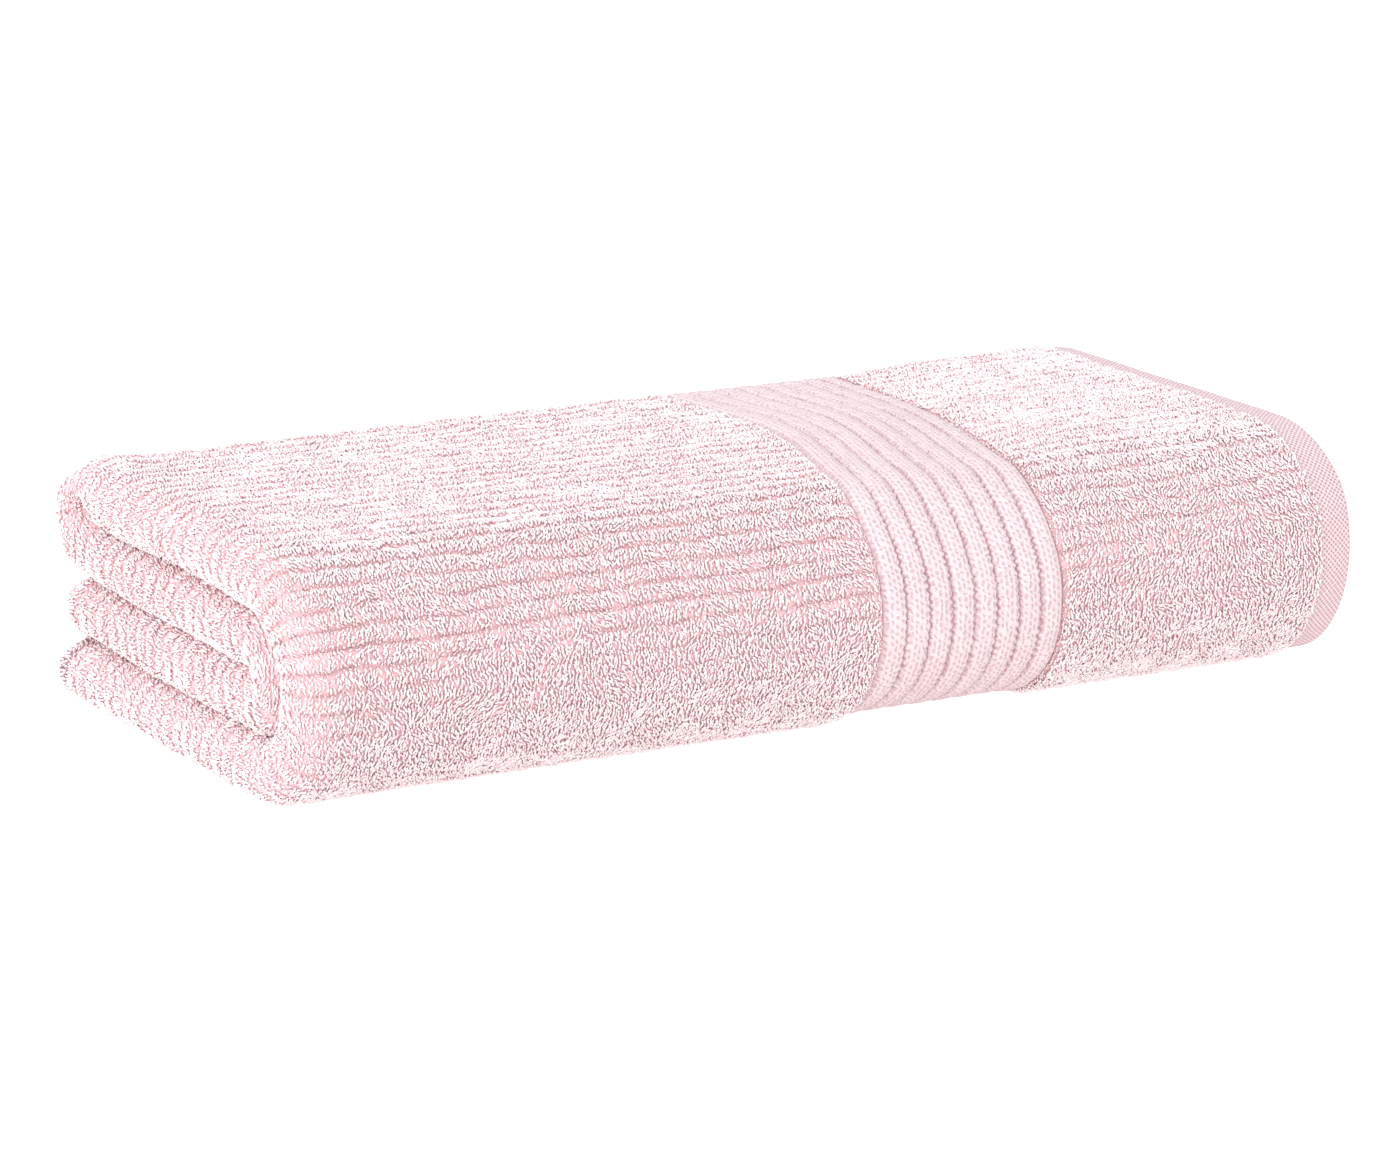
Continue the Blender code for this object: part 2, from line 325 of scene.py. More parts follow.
@dataclass(frozen=True)
class FoldPlan:
    """How the flat towel is folded: four plies to a strip, and four layers of the strip to the pack.

    Attributes:
        length: The pack's length.
        width: Its width.
        height: Its height.
        ply_gap: Air between two plies.
        edge_setback: How far free side edges and the right end fold lie inside the pack's outline.
        inner_setback: How far the inner end hem lies inside the outer one.
        lobe_bluntness: How much fuller than a half circle the left end's folds are.
        softness: How far a real pack strays from the plan.
    """

    length: float
    width: float
    height: float
    ply_gap: float = 0.4 * MM
    edge_setback: float = 3.0 * MM
    inner_setback: float = 2.0 * MM
    lobe_bluntness: float = 0.01
    softness: Softness = Softness()

    @property
    def right_end(self) -> float:
        """The outer end hem's edge."""
        return self.length / 2

    @property
    def strip_pitch(self) -> float:
        """Height of one layer, with the air over it."""
        return (self.height + self.ply_gap) / 4

    @property
    def ply_pitch(self) -> float:
        """Height of one ply, with the air over it."""
        return self.strip_pitch / 4

    @property
    def ply_half(self) -> float:
        """Half the thickness of one ply."""
        return (self.ply_pitch - self.ply_gap) / 2

    @property
    def strip_half(self) -> float:
        """Half the thickness of the strip."""
        return 1.5 * self.ply_pitch + self.ply_half

    @property
    def left_fold_x(self) -> float:
        """Middle of the fold at the left end."""
        return self.strip_half - self.length / 2

    @property
    def right_fold_x(self) -> float:
        """Middle of the fold at the right end."""
        return self.right_end - self.edge_setback - self.ply_pitch / 2 - self.ply_half

    @property
    def front_fold_y(self) -> float:
        """Middle of the inner fold and of the front wrap."""
        return 1.5 * self.strip_pitch + self.strip_half - self.width / 2

    @property
    def back_fold_y(self) -> float:
        """Middle of the back fold."""
        return self.width / 2 - self.strip_pitch / 2 - self.strip_half

    @property
    def free_edge_y(self) -> float:
        """The towel's long edges."""
        return self.width / 2 - self.edge_setback

    @property
    def a_outer_turn(self) -> float:
        """Where the outer ply reaches the fold at the left end."""
        return self.right_end - self.left_fold_x

    @property
    def a_under_ply(self) -> float:
        """Where the underside ply leaves the fold at the left end."""
        return self.a_outer_turn + math.pi * self.strip_half

    @property
    def a_right_turn(self) -> float:
        """Where the underside ply reaches the fold at the right end."""
        return self.a_under_ply + self.right_fold_x - self.left_fold_x

    @property
    def a_return_ply(self) -> float:
        """Where the return ply starts."""
        return self.a_right_turn + math.pi * (self.ply_pitch / 2 + self.ply_half)

    @property
    def a_inner_turn(self) -> float:
        """Where the return ply ends, inside the left end."""
        return self.a_return_ply + self.right_fold_x - self.left_fold_x

    @property
    def a_inner_ply(self) -> float:
        """Where the innermost ply starts."""
        return self.a_inner_turn + math.pi * self.ply_pitch / 2

    @property
    def a_end(self) -> float:
        """The towel's inner end."""
        return self.a_inner_ply + self.right_end - self.inner_setback - self.left_fold_x

    @property
    def t_marks(self) -> list:
        """Where each stretch across the strip starts, and where the last one ends."""
        long_run = self.free_edge_y - self.front_fold_y
        short_run = self.back_fold_y - self.front_fold_y
        inner = math.pi * self.strip_pitch / 2
        back = math.pi * (self.strip_pitch / 2 + self.strip_half)
        wrap = math.pi * (1.5 * self.strip_pitch + self.strip_half)
        runs = [long_run, inner, short_run, back, short_run, wrap, long_run]
        return [float(mark) for mark in np.concatenate([[0.0], np.cumsum(runs)])]

    def along(self, a: np.ndarray, lift: np.ndarray) -> tuple:
        """Place along the pack and height over the strip's middle.

        Args:
            a: Distance from the towel's outer end.
            lift: Distance from the middle of the cloth towards its face.

        Returns:
            The x places and the heights.
        """
        p = self.ply_pitch
        x = self.right_end - a
        h = 1.5 * p + lift
        turned = (a - self.a_outer_turn) / self.strip_half
        radius = (1.5 * p + lift) * (1 + self.lobe_bluntness * np.sin(2 * turned) ** 2)
        on = a > self.a_outer_turn
        x = np.where(on, self.left_fold_x - radius * np.sin(turned), x)
        h = np.where(on, radius * np.cos(turned), h)
        on = a > self.a_under_ply
        x = np.where(on, self.left_fold_x + a - self.a_under_ply, x)
        h = np.where(on, -1.5 * p - lift, h)
        turned = (a - self.a_right_turn) / (p / 2 + self.ply_half)
        on = a > self.a_right_turn
        x = np.where(on, self.right_fold_x + (p / 2 + lift) * np.sin(turned), x)
        h = np.where(on, -p - (p / 2 + lift) * np.cos(turned), h)
        on = a > self.a_return_ply
        x = np.where(on, self.right_fold_x - (a - self.a_return_ply), x)
        h = np.where(on, -0.5 * p + lift, h)
        turned = (a - self.a_inner_turn) / (p / 2)
        on = a > self.a_inner_turn
        x = np.where(on, self.left_fold_x - (p / 2 - lift) * np.sin(turned), x)
        h = np.where(on, -(p / 2 - lift) * np.cos(turned), h)
        on = a > self.a_inner_ply
        x = np.where(on, self.left_fold_x + a - self.a_inner_ply, x)
        h = np.where(on, 0.5 * p - lift, h)
        return x, h

    def across(self, t: np.ndarray, h: np.ndarray) -> tuple:
        """Place across the pack and up.

        Args:
            t: Distance from the third layer's free edge.
            h: Height over the strip's middle.

        Returns:
            The y and z places.
        """
        q = self.strip_pitch
        marks = self.t_marks
        middle = self.strip_half + 1.5 * q
        upper = middle + q
        y = self.free_edge_y - t
        z = middle - q / 2 + h
        turned = (t - marks[1]) / (q / 2)
        on = t > marks[1]
        y = np.where(on, self.front_fold_y - (q / 2 - h) * np.sin(turned), y)
        z = np.where(on, middle - (q / 2 - h) * np.cos(turned), z)
        on = t > marks[2]
        y = np.where(on, self.front_fold_y + t - marks[2], y)
        z = np.where(on, middle + q / 2 - h, z)
        turned = (t - marks[3]) / (q / 2 + self.strip_half)
        on = t > marks[3]
        y = np.where(on, self.back_fold_y + (q / 2 + h) * np.sin(turned), y)
        z = np.where(on, upper - (q / 2 + h) * np.cos(turned), z)
        on = t > marks[4]
        y = np.where(on, self.back_fold_y - (t - marks[4]), y)
        z = np.where(on, upper + q / 2 + h, z)
        turned = (t - marks[5]) / (1.5 * q + self.strip_half)
        on = t > marks[5]
        y = np.where(on, self.front_fold_y - (1.5 * q + h) * np.sin(turned), y)
        z = np.where(on, middle + (1.5 * q + h) * np.cos(turned), z)
        on = t > marks[6]
        y = np.where(on, self.front_fold_y + t - marks[6], y)
        z = np.where(on, middle - 1.5 * q - h, z)
        return y, z

    def place(self, a: np.ndarray, t: np.ndarray, lift: np.ndarray) -> np.ndarray:
        """Turn places on the cloth into places in the pack.

        Args:
            a: Distances from the towel's outer end.
            t: Distances from the third layer's free edge.
            lift: Distances from the middle of the cloth towards its face.

        Returns:
            Points, with x, y and z in the last axis.
        """
        a, t, lift = np.broadcast_arrays(a, t, lift)
        x, h = self.along(a, lift)
        y, z = self.across(t, h)
        return self.softness.relaxed(x, y, z)


@dataclass(frozen=True)
class RibbedSurface:
    """The terry's face: rounded ribs along the towel, with narrow wandering furrows between them.

    Attributes:
        plan: The fold.
        pitch: Distance between furrows.
        furrow_half: Half the width of a furrow.
        relief: Height of a rib over a full furrow.
        base: Lift of a full furrow over the middle of the cloth.
        wander: How far a furrow strays.
        fine_wander: How far it strays within a few millimetres.
        usual_depth: Share of a full furrow that most of them have.
        least_depth: Share that the faintest have.
        left_relief: How much higher the ribs stand round the left end, as a share.
        tuft: Unevenness of the ground.
        pressed_depth: How far the ground is pressed in between two layers.
    """

    plan: FoldPlan
    pitch: float = 7.4 * MM
    furrow_half: float = 1.0 * MM
    relief: float = 1.55 * MM
    base: float = 0.50 * MM
    wander: float = 1.35 * MM
    fine_wander: float = 0.55 * MM
    usual_depth: float = 0.66
    least_depth: float = 0.12
    left_relief: float = 0.50
    tuft: float = 0.28 * MM
    pressed_depth: float = 0.30 * MM

    def furrow(self, a: np.ndarray, t: np.ndarray) -> np.ndarray:
        """Depth of the furrow at each place, from 0 on a rib to 1 in a deep furrow.

        Args:
            a: Distances from the towel's outer end.
            t: Distances from the third layer's free edge.

        Returns:
            Depths as shares.
        """
        strayed = self.wander * Unevenness(21, 13 * MM).at(a, t)
        strayed = strayed + self.fine_wander * Unevenness(22, 4 * MM).at(a, t)
        first_furrow = 0.31
        phase = (t + strayed) / self.pitch + first_furrow
        reach = np.abs(phase - np.round(phase)) * self.pitch
        strength = self.usual_depth + 0.45 * Unevenness(23, 26 * MM, 0.35).at(a, t)
        strength = strength + 0.25 * Unevenness(24, 9 * MM, 0.6).at(a, t)
        down_front = t - self.plan.t_marks[5]
        shoulder = swell(down_front, 22 * MM, 26 * MM)
        lower_front = smooth_step(45 * MM, 74 * MM, down_front)
        left_end = smooth_step(-15 * MM, 5 * MM, a - self.plan.a_outer_turn)
        header = smooth_step(112 * MM, 96 * MM, a)
        strength = strength * (1 - 0.65 * lower_front) * (1 - 0.55 * header) + 0.3 * shoulder + 0.3 * left_end
        rounding = (1 - 2 * reach / self.pitch) ** 2
        profile = 0.68 * swell(reach, 0.0, self.furrow_half) + 0.32 * rounding
        return np.clip(strength, self.least_depth, 1.0) * profile

    def pressed(self, a: np.ndarray, t: np.ndarray) -> np.ndarray:
        """How hard two layers press the pile between them at the left end, from 0 to 1.

        Args:
            a: Distances from the towel's outer end.
            t: Distances from the third layer's free edge.

        Returns:
            Shares.
        """
        turned = np.clip((a - self.plan.a_outer_turn) / self.plan.strip_half, 0.0, math.pi)
        below = smooth_step(0.62 * math.pi, math.pi, turned)
        lower_layers = smooth_step(2 * MM, -2 * MM, t - self.plan.t_marks[3])
        above = smooth_step(0.38 * math.pi, 0.0, turned) * lower_layers
        return below + above

    def lift(self, a: np.ndarray, t: np.ndarray) -> np.ndarray:
        """Height of the ground of the pile over the middle of the cloth.

        Args:
            a: Distances from the towel's outer end.
            t: Distances from the third layer's free edge.

        Returns:
            Heights in metres.
        """
        tufts = self.tuft * Unevenness(25, 3.2 * MM).at(a, t)
        left_end = smooth_step(-20 * MM, 4 * MM, a - self.plan.a_outer_turn)
        relief = self.relief * (1 + self.left_relief * left_end)
        pressed_in = self.pressed_depth * self.pressed(a, t)
        return self.base + relief * (1 - self.furrow(a, t)) + tufts - pressed_in


def mesh_object(name: str, points: np.ndarray, faces: Sequence, places: Optional[np.ndarray] = None,
                slots: Optional[np.ndarray] = None) -> bpy.types.Object:
    """Make a smooth mesh object, with its faces turned outwards.

    Args:
        name: The piece's name.
        points: Corner points, one row each.
        faces: Arrays of corner numbers, each array holding faces with one number of sides.
        places: Flat place of each point in metres, for the cloth map.
        slots: Material slot of each face.

    Returns:
        The object, linked to the scene.
    """
    rows = [np.atleast_2d(np.asarray(group, dtype=np.int32)) for group in faces]
    volume = 0.0
    for group in rows:
        for step in range(1, group.shape[1] - 1):
            first, second, third = points[group[:, 0]], points[group[:, step]], points[group[:, step + 1]]
            volume += float((first * np.cross(second, third)).sum())
    if volume < 0:
        rows = [group[:, ::-1] for group in rows]
    corners = np.concatenate([group.ravel() for group in rows])
    sides = np.concatenate([np.full(len(group), group.shape[1], dtype=np.int32) for group in rows])
    mesh = bpy.data.meshes.new(name)
    mesh.vertices.add(len(points))
    mesh.vertices.foreach_set("co", points.astype(np.float32).ravel())
    mesh.loops.add(len(corners))
    mesh.loops.foreach_set("vertex_index", corners)
    mesh.polygons.add(len(sides))
    mesh.polygons.foreach_set("loop_start", np.concatenate([[0], np.cumsum(sides)[:-1]]).astype(np.int32))
    if slots is not None:
        mesh.polygons.foreach_set("material_index", np.asarray(slots, dtype=np.int32))
    mesh.update(calc_edges=True)
    mesh.validate()
    if places is not None:
        layer = mesh.uv_layers.new(name="cloth")
        layer.uv.foreach_set("vector", places[corners].astype(np.float32).ravel())
    mesh.shade_smooth()
    item = bpy.data.objects.new(name, mesh)
    bpy.context.scene.collection.objects.link(item)
    return item


def settle(piece: bpy.types.Object, nodes: Iterable = ()) -> bpy.types.Object:
    """Put a finished piece on its body, in place of its nodes.

    Args:
        piece: The finished piece.
        nodes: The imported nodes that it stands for.

    Returns:
        The piece.
    """
    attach(piece, BODY)
    names = list(nodes)
    if names:
        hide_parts(*names)
    LOG.info("%s: %d faces", piece.name, len(piece.data.polygons))
    return piece


@dataclass
class Signal:
    """One value in a shader, which Python's operators work on."""

    graph: "ShaderGraph"
    socket: bpy.types.NodeSocket

    def _with(self, operation: str, first: object, second: object) -> "Signal":
        """Add one step of arithmetic."""
        return self.graph.add("ShaderNodeMath", {"operation": operation}, {0: first, 1: second})

    def __add__(self, other: object) -> "Signal":
        """Add."""
        return self._with("ADD", self, other)

    __radd__ = __add__

    def __sub__(self, other: object) -> "Signal":
        """Take away."""
        return self._with("SUBTRACT", self, other)

    def __rsub__(self, other: object) -> "Signal":
        """Be taken away from."""
        return self._with("SUBTRACT", other, self)

    def __mul__(self, other: object) -> "Signal":
        """Multiply."""
        return self._with("MULTIPLY", self, other)

    __rmul__ = __mul__

    def sine(self) -> "Signal":
        """Sine, with 1 for a whole turn."""
        return self.graph.add("ShaderNodeMath", {"operation": "SINE"}, {0: self * math.tau})

    def above(self, low: float, high: float) -> "Signal":
        """Ease from 0 at low to 1 at high."""
        settings = {"interpolation_type": "SMOOTHSTEP", "clamp": True}
        inputs = {"Value": self, "From Min": low, "From Max": high}
        return self.graph.add("ShaderNodeMapRange", settings, inputs)


class ShaderGraph:
    """Builds one material, node by node."""

    def __init__(self, name: str) -> None:
        """Start a material with a Principled shader.

        Args:
            name: The material's name.
        """
        self.material = bpy.data.materials.new(name)
        self.material.use_nodes = True
        self.nodes = self.material.node_tree.nodes
        self.links = self.material.node_tree.links
        self.shader = self.nodes["Principled BSDF"]

    def set(self, socket: str, value: object) -> None:
        """Set one of the Principled shader's sockets, or link a signal to it."""
        self.plug(self.shader.inputs[socket], value)

    def plug(self, socket: bpy.types.NodeSocket, value: object) -> None:
        """Set a socket, or link a signal to it.

        Args:
            socket: The socket.
            value: A number, a tuple or a signal.
        """
        if isinstance(value, Signal):
            self.links.new(value.socket, socket)
        else:
            socket.default_value = value

    def add(self, kind: str, settings: dict, inputs: dict, output: Union[int, str] = 0) -> Signal:
        """Add a node.

        Args:
            kind: The node's type.
            settings: Its properties, set first.
            inputs: Values or signals, by socket name or number.
            output: Which output to give back.

        Returns:
            That output.
        """
        node = self.nodes.new(kind)
        for key, value in settings.items():
            setattr(node, key, value)
        for key, value in inputs.items():
            self.plug(node.inputs[key], value)
        return Signal(self, node.outputs[output])

    def object_place(self) -> Signal:
        """Place in the pack, in metres."""
        return self.add("ShaderNodeTexCoord", {}, {}, "Object")

    def cloth_place(self) -> tuple:
        """Place on the flat cloth in metres: along it, across it, and both as one vector."""
        spot = self.add("ShaderNodeUVMap", {"uv_map": "cloth"}, {})
        along = self.add("ShaderNodeSeparateXYZ", {}, {0: spot}, "X")
        across = Signal(self, along.socket.node.outputs["Y"])
        return along, across, spot

    def noise(self, where: Signal, scale: float, detail: float = 2.0) -> Signal:
        """Cloudy noise around 0.5.

        Args:
            where: The coordinates.
            scale: Clouds in a metre.
            detail: How many finer layers.

        Returns:
            The noise.
        """
        return self.add("ShaderNodeTexNoise", {}, {"Vector": where, "Scale": scale, "Detail": detail})

    def blend(self, share: Signal, low: tuple, high: tuple) -> Signal:
        """Mix two colours.

        Args:
            share: 0 for the first and 1 for the second.
            low: The first colour's red, green and blue.
            high: The second colour's.

        Returns:
            The mixed colour.
        """
        first, second, mixed = 6, 7, 2
        inputs = {"Factor": share, first: (*low, 1.0), second: (*high, 1.0)}
        return self.add("ShaderNodeMix", {"data_type": "RGBA"}, inputs, mixed)

    def bump(self, height: Signal, depth: float) -> None:
        """Give the surface relief.

        Args:
            height: The relief, about 0 to 1.
            depth: How many metres 1 stands for.
        """
        inputs = {"Height": height, "Distance": depth, "Strength": 1.0}
        self.set("Normal", self.add("ShaderNodeBump", {}, inputs))

    def cotton(self, sheen: float, sheen_tint: tuple) -> None:
        """Set what all cotton shares.

        Args:
            sheen: Strength of the fuzz at the rim.
            sheen_tint: Its red, green and blue.
        """
        self.set("Specular IOR Level", 0.18)
        self.set("Sheen Weight", sheen)
        self.set("Sheen Roughness", 0.55)
        self.set("Sheen Tint", (*sheen_tint, 1.0))


ROSE_FUZZ = (1.0, 0.74, 0.76)
PALE_FUZZ = (1.0, 0.80, 0.82)


@dataclass(frozen=True)
class YarnFinish:
    """Soft pile yarn in one shade."""

    name: str
    colour: tuple
    sheen: float = 0.10

    def make(self) -> bpy.types.Material:
        """Build the material: one flat shade with the roughness and relief of its fibres; the deeper copies
        carry painted shade.
        """
        graph = ShaderGraph(self.name)
        graph.set("Base Color", (*self.colour, 1.0))
        fibres = graph.noise(graph.object_place(), 2600.0)
        graph.set("Roughness", fibres * 0.2 + 0.8)
        graph.bump(fibres, 0.10 * MM)
        graph.cotton(self.sheen, ROSE_FUZZ)
        graph.set("Subsurface Weight", 0.7)
        graph.set("Subsurface Radius", (1.0, 1.0, 1.0))
        graph.set("Subsurface Scale", 0.7 * MM)
        return graph.material


@dataclass(frozen=True)
class GroundFinish:
    """The ground cloth that shows between the loops of the pile, darker than the yarn as painted shade in the
    gaps.
    """

    name: str
    deep: tuple
    light: tuple

    def make(self) -> bpy.types.Material:
        """Build the material: patchy dye over a fine knotted relief, in colours kept darker than the yarn as
        painted shade.
        """
        graph = ShaderGraph(self.name)
        where = graph.object_place()
        patches = graph.noise(where, 90.0, 3.0)
        knots = graph.noise(where, 1500.0, 2.0)
        share = (patches * 0.5 + knots * 0.9).above(0.35, 1.0)
        graph.set("Base Color", graph.blend(share, self.deep, self.light))
        graph.set("Roughness", knots * 0.1 + 0.88)
        graph.bump(knots, 0.5 * MM)
        graph.cotton(0.10, ROSE_FUZZ)
        return graph.material


@dataclass(frozen=True)
class BorderFinish:
    """Flat woven bands, whose picks lie in short slanting floats."""

    name: str
    deep: tuple
    light: tuple
    pick: float = 2.6 * MM
    float_width: float = 1.75 * MM

    def make(self) -> bpy.types.Material:
        """Build the material: staggered floats of yarn, drawn on the cloth map."""
        graph = ShaderGraph(self.name)
        along, across, spot = graph.cloth_place()
        wobble = graph.noise(spot, 420.0, 2.0)
        fuzz = graph.noise(spot, 2600.0, 2.0)
        slant = along * (1 / self.float_width) + wobble * 1.1
        rows = slant.sine() * 0.5 + 0.5
        picks = (across * (1 / self.pick) + slant * 0.5 + wobble * 1.6).sine() * 0.5 + 0.5
        floats = 1 - (1 - rows) * (1 - picks)
        height = floats * 0.75 + fuzz * 0.35
        share = (height + (graph.noise(spot, 60.0, 2.0) - 0.5) * 0.4).above(0.20, 1.0)
        graph.set("Base Color", graph.blend(share, self.deep, self.light))
        graph.set("Roughness", 0.92 - floats * 0.12)
        graph.bump(height, 0.45 * MM)
        graph.cotton(0.12, PALE_FUZZ)
        return graph.material


@dataclass(frozen=True)
class PlainWeaveFinish:
    """Plain weave, each thread passing over and under the next."""

    name: str
    deep: tuple
    light: tuple
    pitch: float = 1.9 * MM
    depth: float = 0.35 * MM

    def make(self) -> bpy.types.Material:
        """Build the material: a chequer of small raised threads on the cloth map."""
        graph = ShaderGraph(self.name)
        along, across, spot = graph.cloth_place()
        wobble = graph.noise(spot, 500.0, 1.0)
        one = (along * (1 / self.pitch) + wobble * 0.35).sine()
        other = (across * (1 / self.pitch) + wobble * 0.35).sine()
        dots = one * other * 0.5 + 0.5
        fuzz = graph.noise(spot, 3000.0, 2.0)
        share = (dots * 0.9 + fuzz * 0.2).above(0.05, 0.75)
        graph.set("Base Color", graph.blend(share, self.deep, self.light))
        graph.set("Roughness", fuzz * 0.15 + 0.8)
        graph.bump(dots + fuzz * 0.3, self.depth)
        graph.cotton(0.10, PALE_FUZZ)
        return graph.material


@dataclass(frozen=True)
class ThreadFinish:
    """Spun sewing thread."""

    name: str
    colour: tuple

    def make(self) -> bpy.types.Material:
        """Build the material: one shade with the twist of the thread in its relief."""
        graph = ShaderGraph(self.name)
        along, across, _ = graph.cloth_place()
        twist = (along * (1 / (0.45 * MM)) + across).sine() * 0.5 + 0.5
        graph.set("Base Color", (*self.colour, 1.0))
        graph.set("Roughness", 0.62 - twist * 0.1)
        graph.bump(twist, 0.06 * MM)
        graph.cotton(0.15, (1.0, 0.95, 0.95))
        return graph.material


class Palette:
    """Every finish on the towel, made once."""

    def __init__(self) -> None:
        """Make the materials."""
        # Yarn shades from pale to deep. Their random mix is the yarn's own tone. Loops in furrows lean deeper
        # and every loop's legs take the next deeper shade, both painted shade, and the last shade is painted
        # shade alone.
        self.pile = [
            YarnFinish("pile_yarn_pale", (0.980, 0.800, 0.816)).make(),
            YarnFinish("pile_yarn_middle", (0.972, 0.750, 0.768)).make(),
            YarnFinish("pile_yarn_rosy", (0.955, 0.680, 0.700)).make(),
            YarnFinish("pile_yarn_painted_shade", (0.880, 0.565, 0.588)).make(),
        ]
        # The ground is darker and rosier than the yarn: painted shade in the gaps between loops.
        self.ground = GroundFinish("terry_ground", (0.76, 0.465, 0.487), (0.84, 0.550, 0.572)).make()
        self.border = BorderFinish("woven_border", (0.58, 0.400, 0.424), (0.71, 0.565, 0.582)).make()
        # The furrow yarn is darker than the bands: painted shade down in the border's furrows.
        self.furrow = YarnFinish("border_furrow_shade", (0.58, 0.335, 0.365)).make()
        self.hem = PlainWeaveFinish("plain_hem", (0.40, 0.20, 0.235), (0.75, 0.585, 0.60)).make()
        self.thread = ThreadFinish("sewing_thread", (0.72, 0.54, 0.56)).make()
        tape = PlainWeaveFinish("label_tape", (0.80, 0.79, 0.77), (0.93, 0.92, 0.90), 0.5 * MM, 0.05 * MM)
        self.label = tape.make()


@dataclass
class Slab:
    """A closed piece of folded cloth, as a fine face and a coarser back joined at the rim.

    Attributes:
        plan: The fold.
        name: The piece's name.
        a_rows: Places along the towel.
        t_columns: Places across it.
        face: Lift of the face at each place.
        back: Lift of the back at each place.
        back_step: How many face columns go to one back column.
        shade: Material slot of the face at each place, if it has more than one.
    """

    plan: FoldPlan
    name: str
    a_rows: np.ndarray
    t_columns: np.ndarray
    face: Callable
    back: Callable
    back_step: int = 4
    shade: Optional[Callable] = None

    def build(self) -> bpy.types.Object:
        """Make the mesh.

        Returns:
            The object.
        """
        columns = len(self.t_columns)
        kept = sorted(set(range(0, columns, self.back_step)) | {columns - 1})
        a_face, t_face = np.meshgrid(self.a_rows, self.t_columns, indexing="ij")
        a_back, t_back = np.meshgrid(self.a_rows, self.t_columns[kept], indexing="ij")
        front = self.plan.place(a_face, t_face, self.face(a_face, t_face)).reshape(-1, 3)
        rear = self.plan.place(a_back, t_back, self.back(a_back, t_back)).reshape(-1, 3)
        flat = np.concatenate([np.stack([a_face, t_face], -1).reshape(-1, 2),
                               np.stack([a_back, t_back], -1).reshape(-1, 2)])
        rows = len(self.a_rows)
        top = np.arange(rows * columns).reshape(rows, columns)
        low = rows * columns + np.arange(rows * len(kept)).reshape(rows, len(kept))
        quads = [
            np.stack([top[:-1, :-1], top[1:, :-1], top[1:, 1:], top[:-1, 1:]], -1).reshape(-1, 4),
            np.stack([low[:-1, :-1], low[:-1, 1:], low[1:, 1:], low[1:, :-1]], -1).reshape(-1, 4),
            np.stack([top[1:, 0], top[:-1, 0], low[:-1, 0], low[1:, 0]], -1),
            np.stack([top[:-1, -1], top[1:, -1], low[1:, -1], low[:-1, -1]], -1),
        ]
        faces = [np.concatenate(quads)]
        for rank, (start, end) in enumerate(zip(kept, kept[1:])):
            span = list(range(start, end + 1))
            faces.append([*top[0, span], low[0, rank + 1], low[0, rank]])
            faces.append([*top[-1, span[::-1]], low[-1, rank], low[-1, rank + 1]])
        slots = None
        if self.shade is not None:
            slots = np.zeros(len(faces[0]) + len(faces) - 1, dtype=np.int32)
            middle_a = (self.a_rows[1:] + self.a_rows[:-1]) / 2
            middle_t = (self.t_columns[1:] + self.t_columns[:-1]) / 2
            grid = np.meshgrid(middle_a, middle_t, indexing="ij")
            slots[: grid[0].size] = self.shade(*grid).ravel()
        return mesh_object(self.name, np.concatenate([front, rear]), faces, flat, slots)


def spaced(stretches: Sequence) -> np.ndarray:
    """Places along stretches that each have their own spacing.

    Args:
        stretches: Rows of start, end and spacing, end to end.

    Returns:
        The places.
    """
    places = [np.array([stretches[0][0]])]
    for start, end, step in stretches:
        count = max(1, int(round((end - start) / step)))
        places.append(np.linspace(start, end, count + 1)[1:])
    return np.concatenate(places)


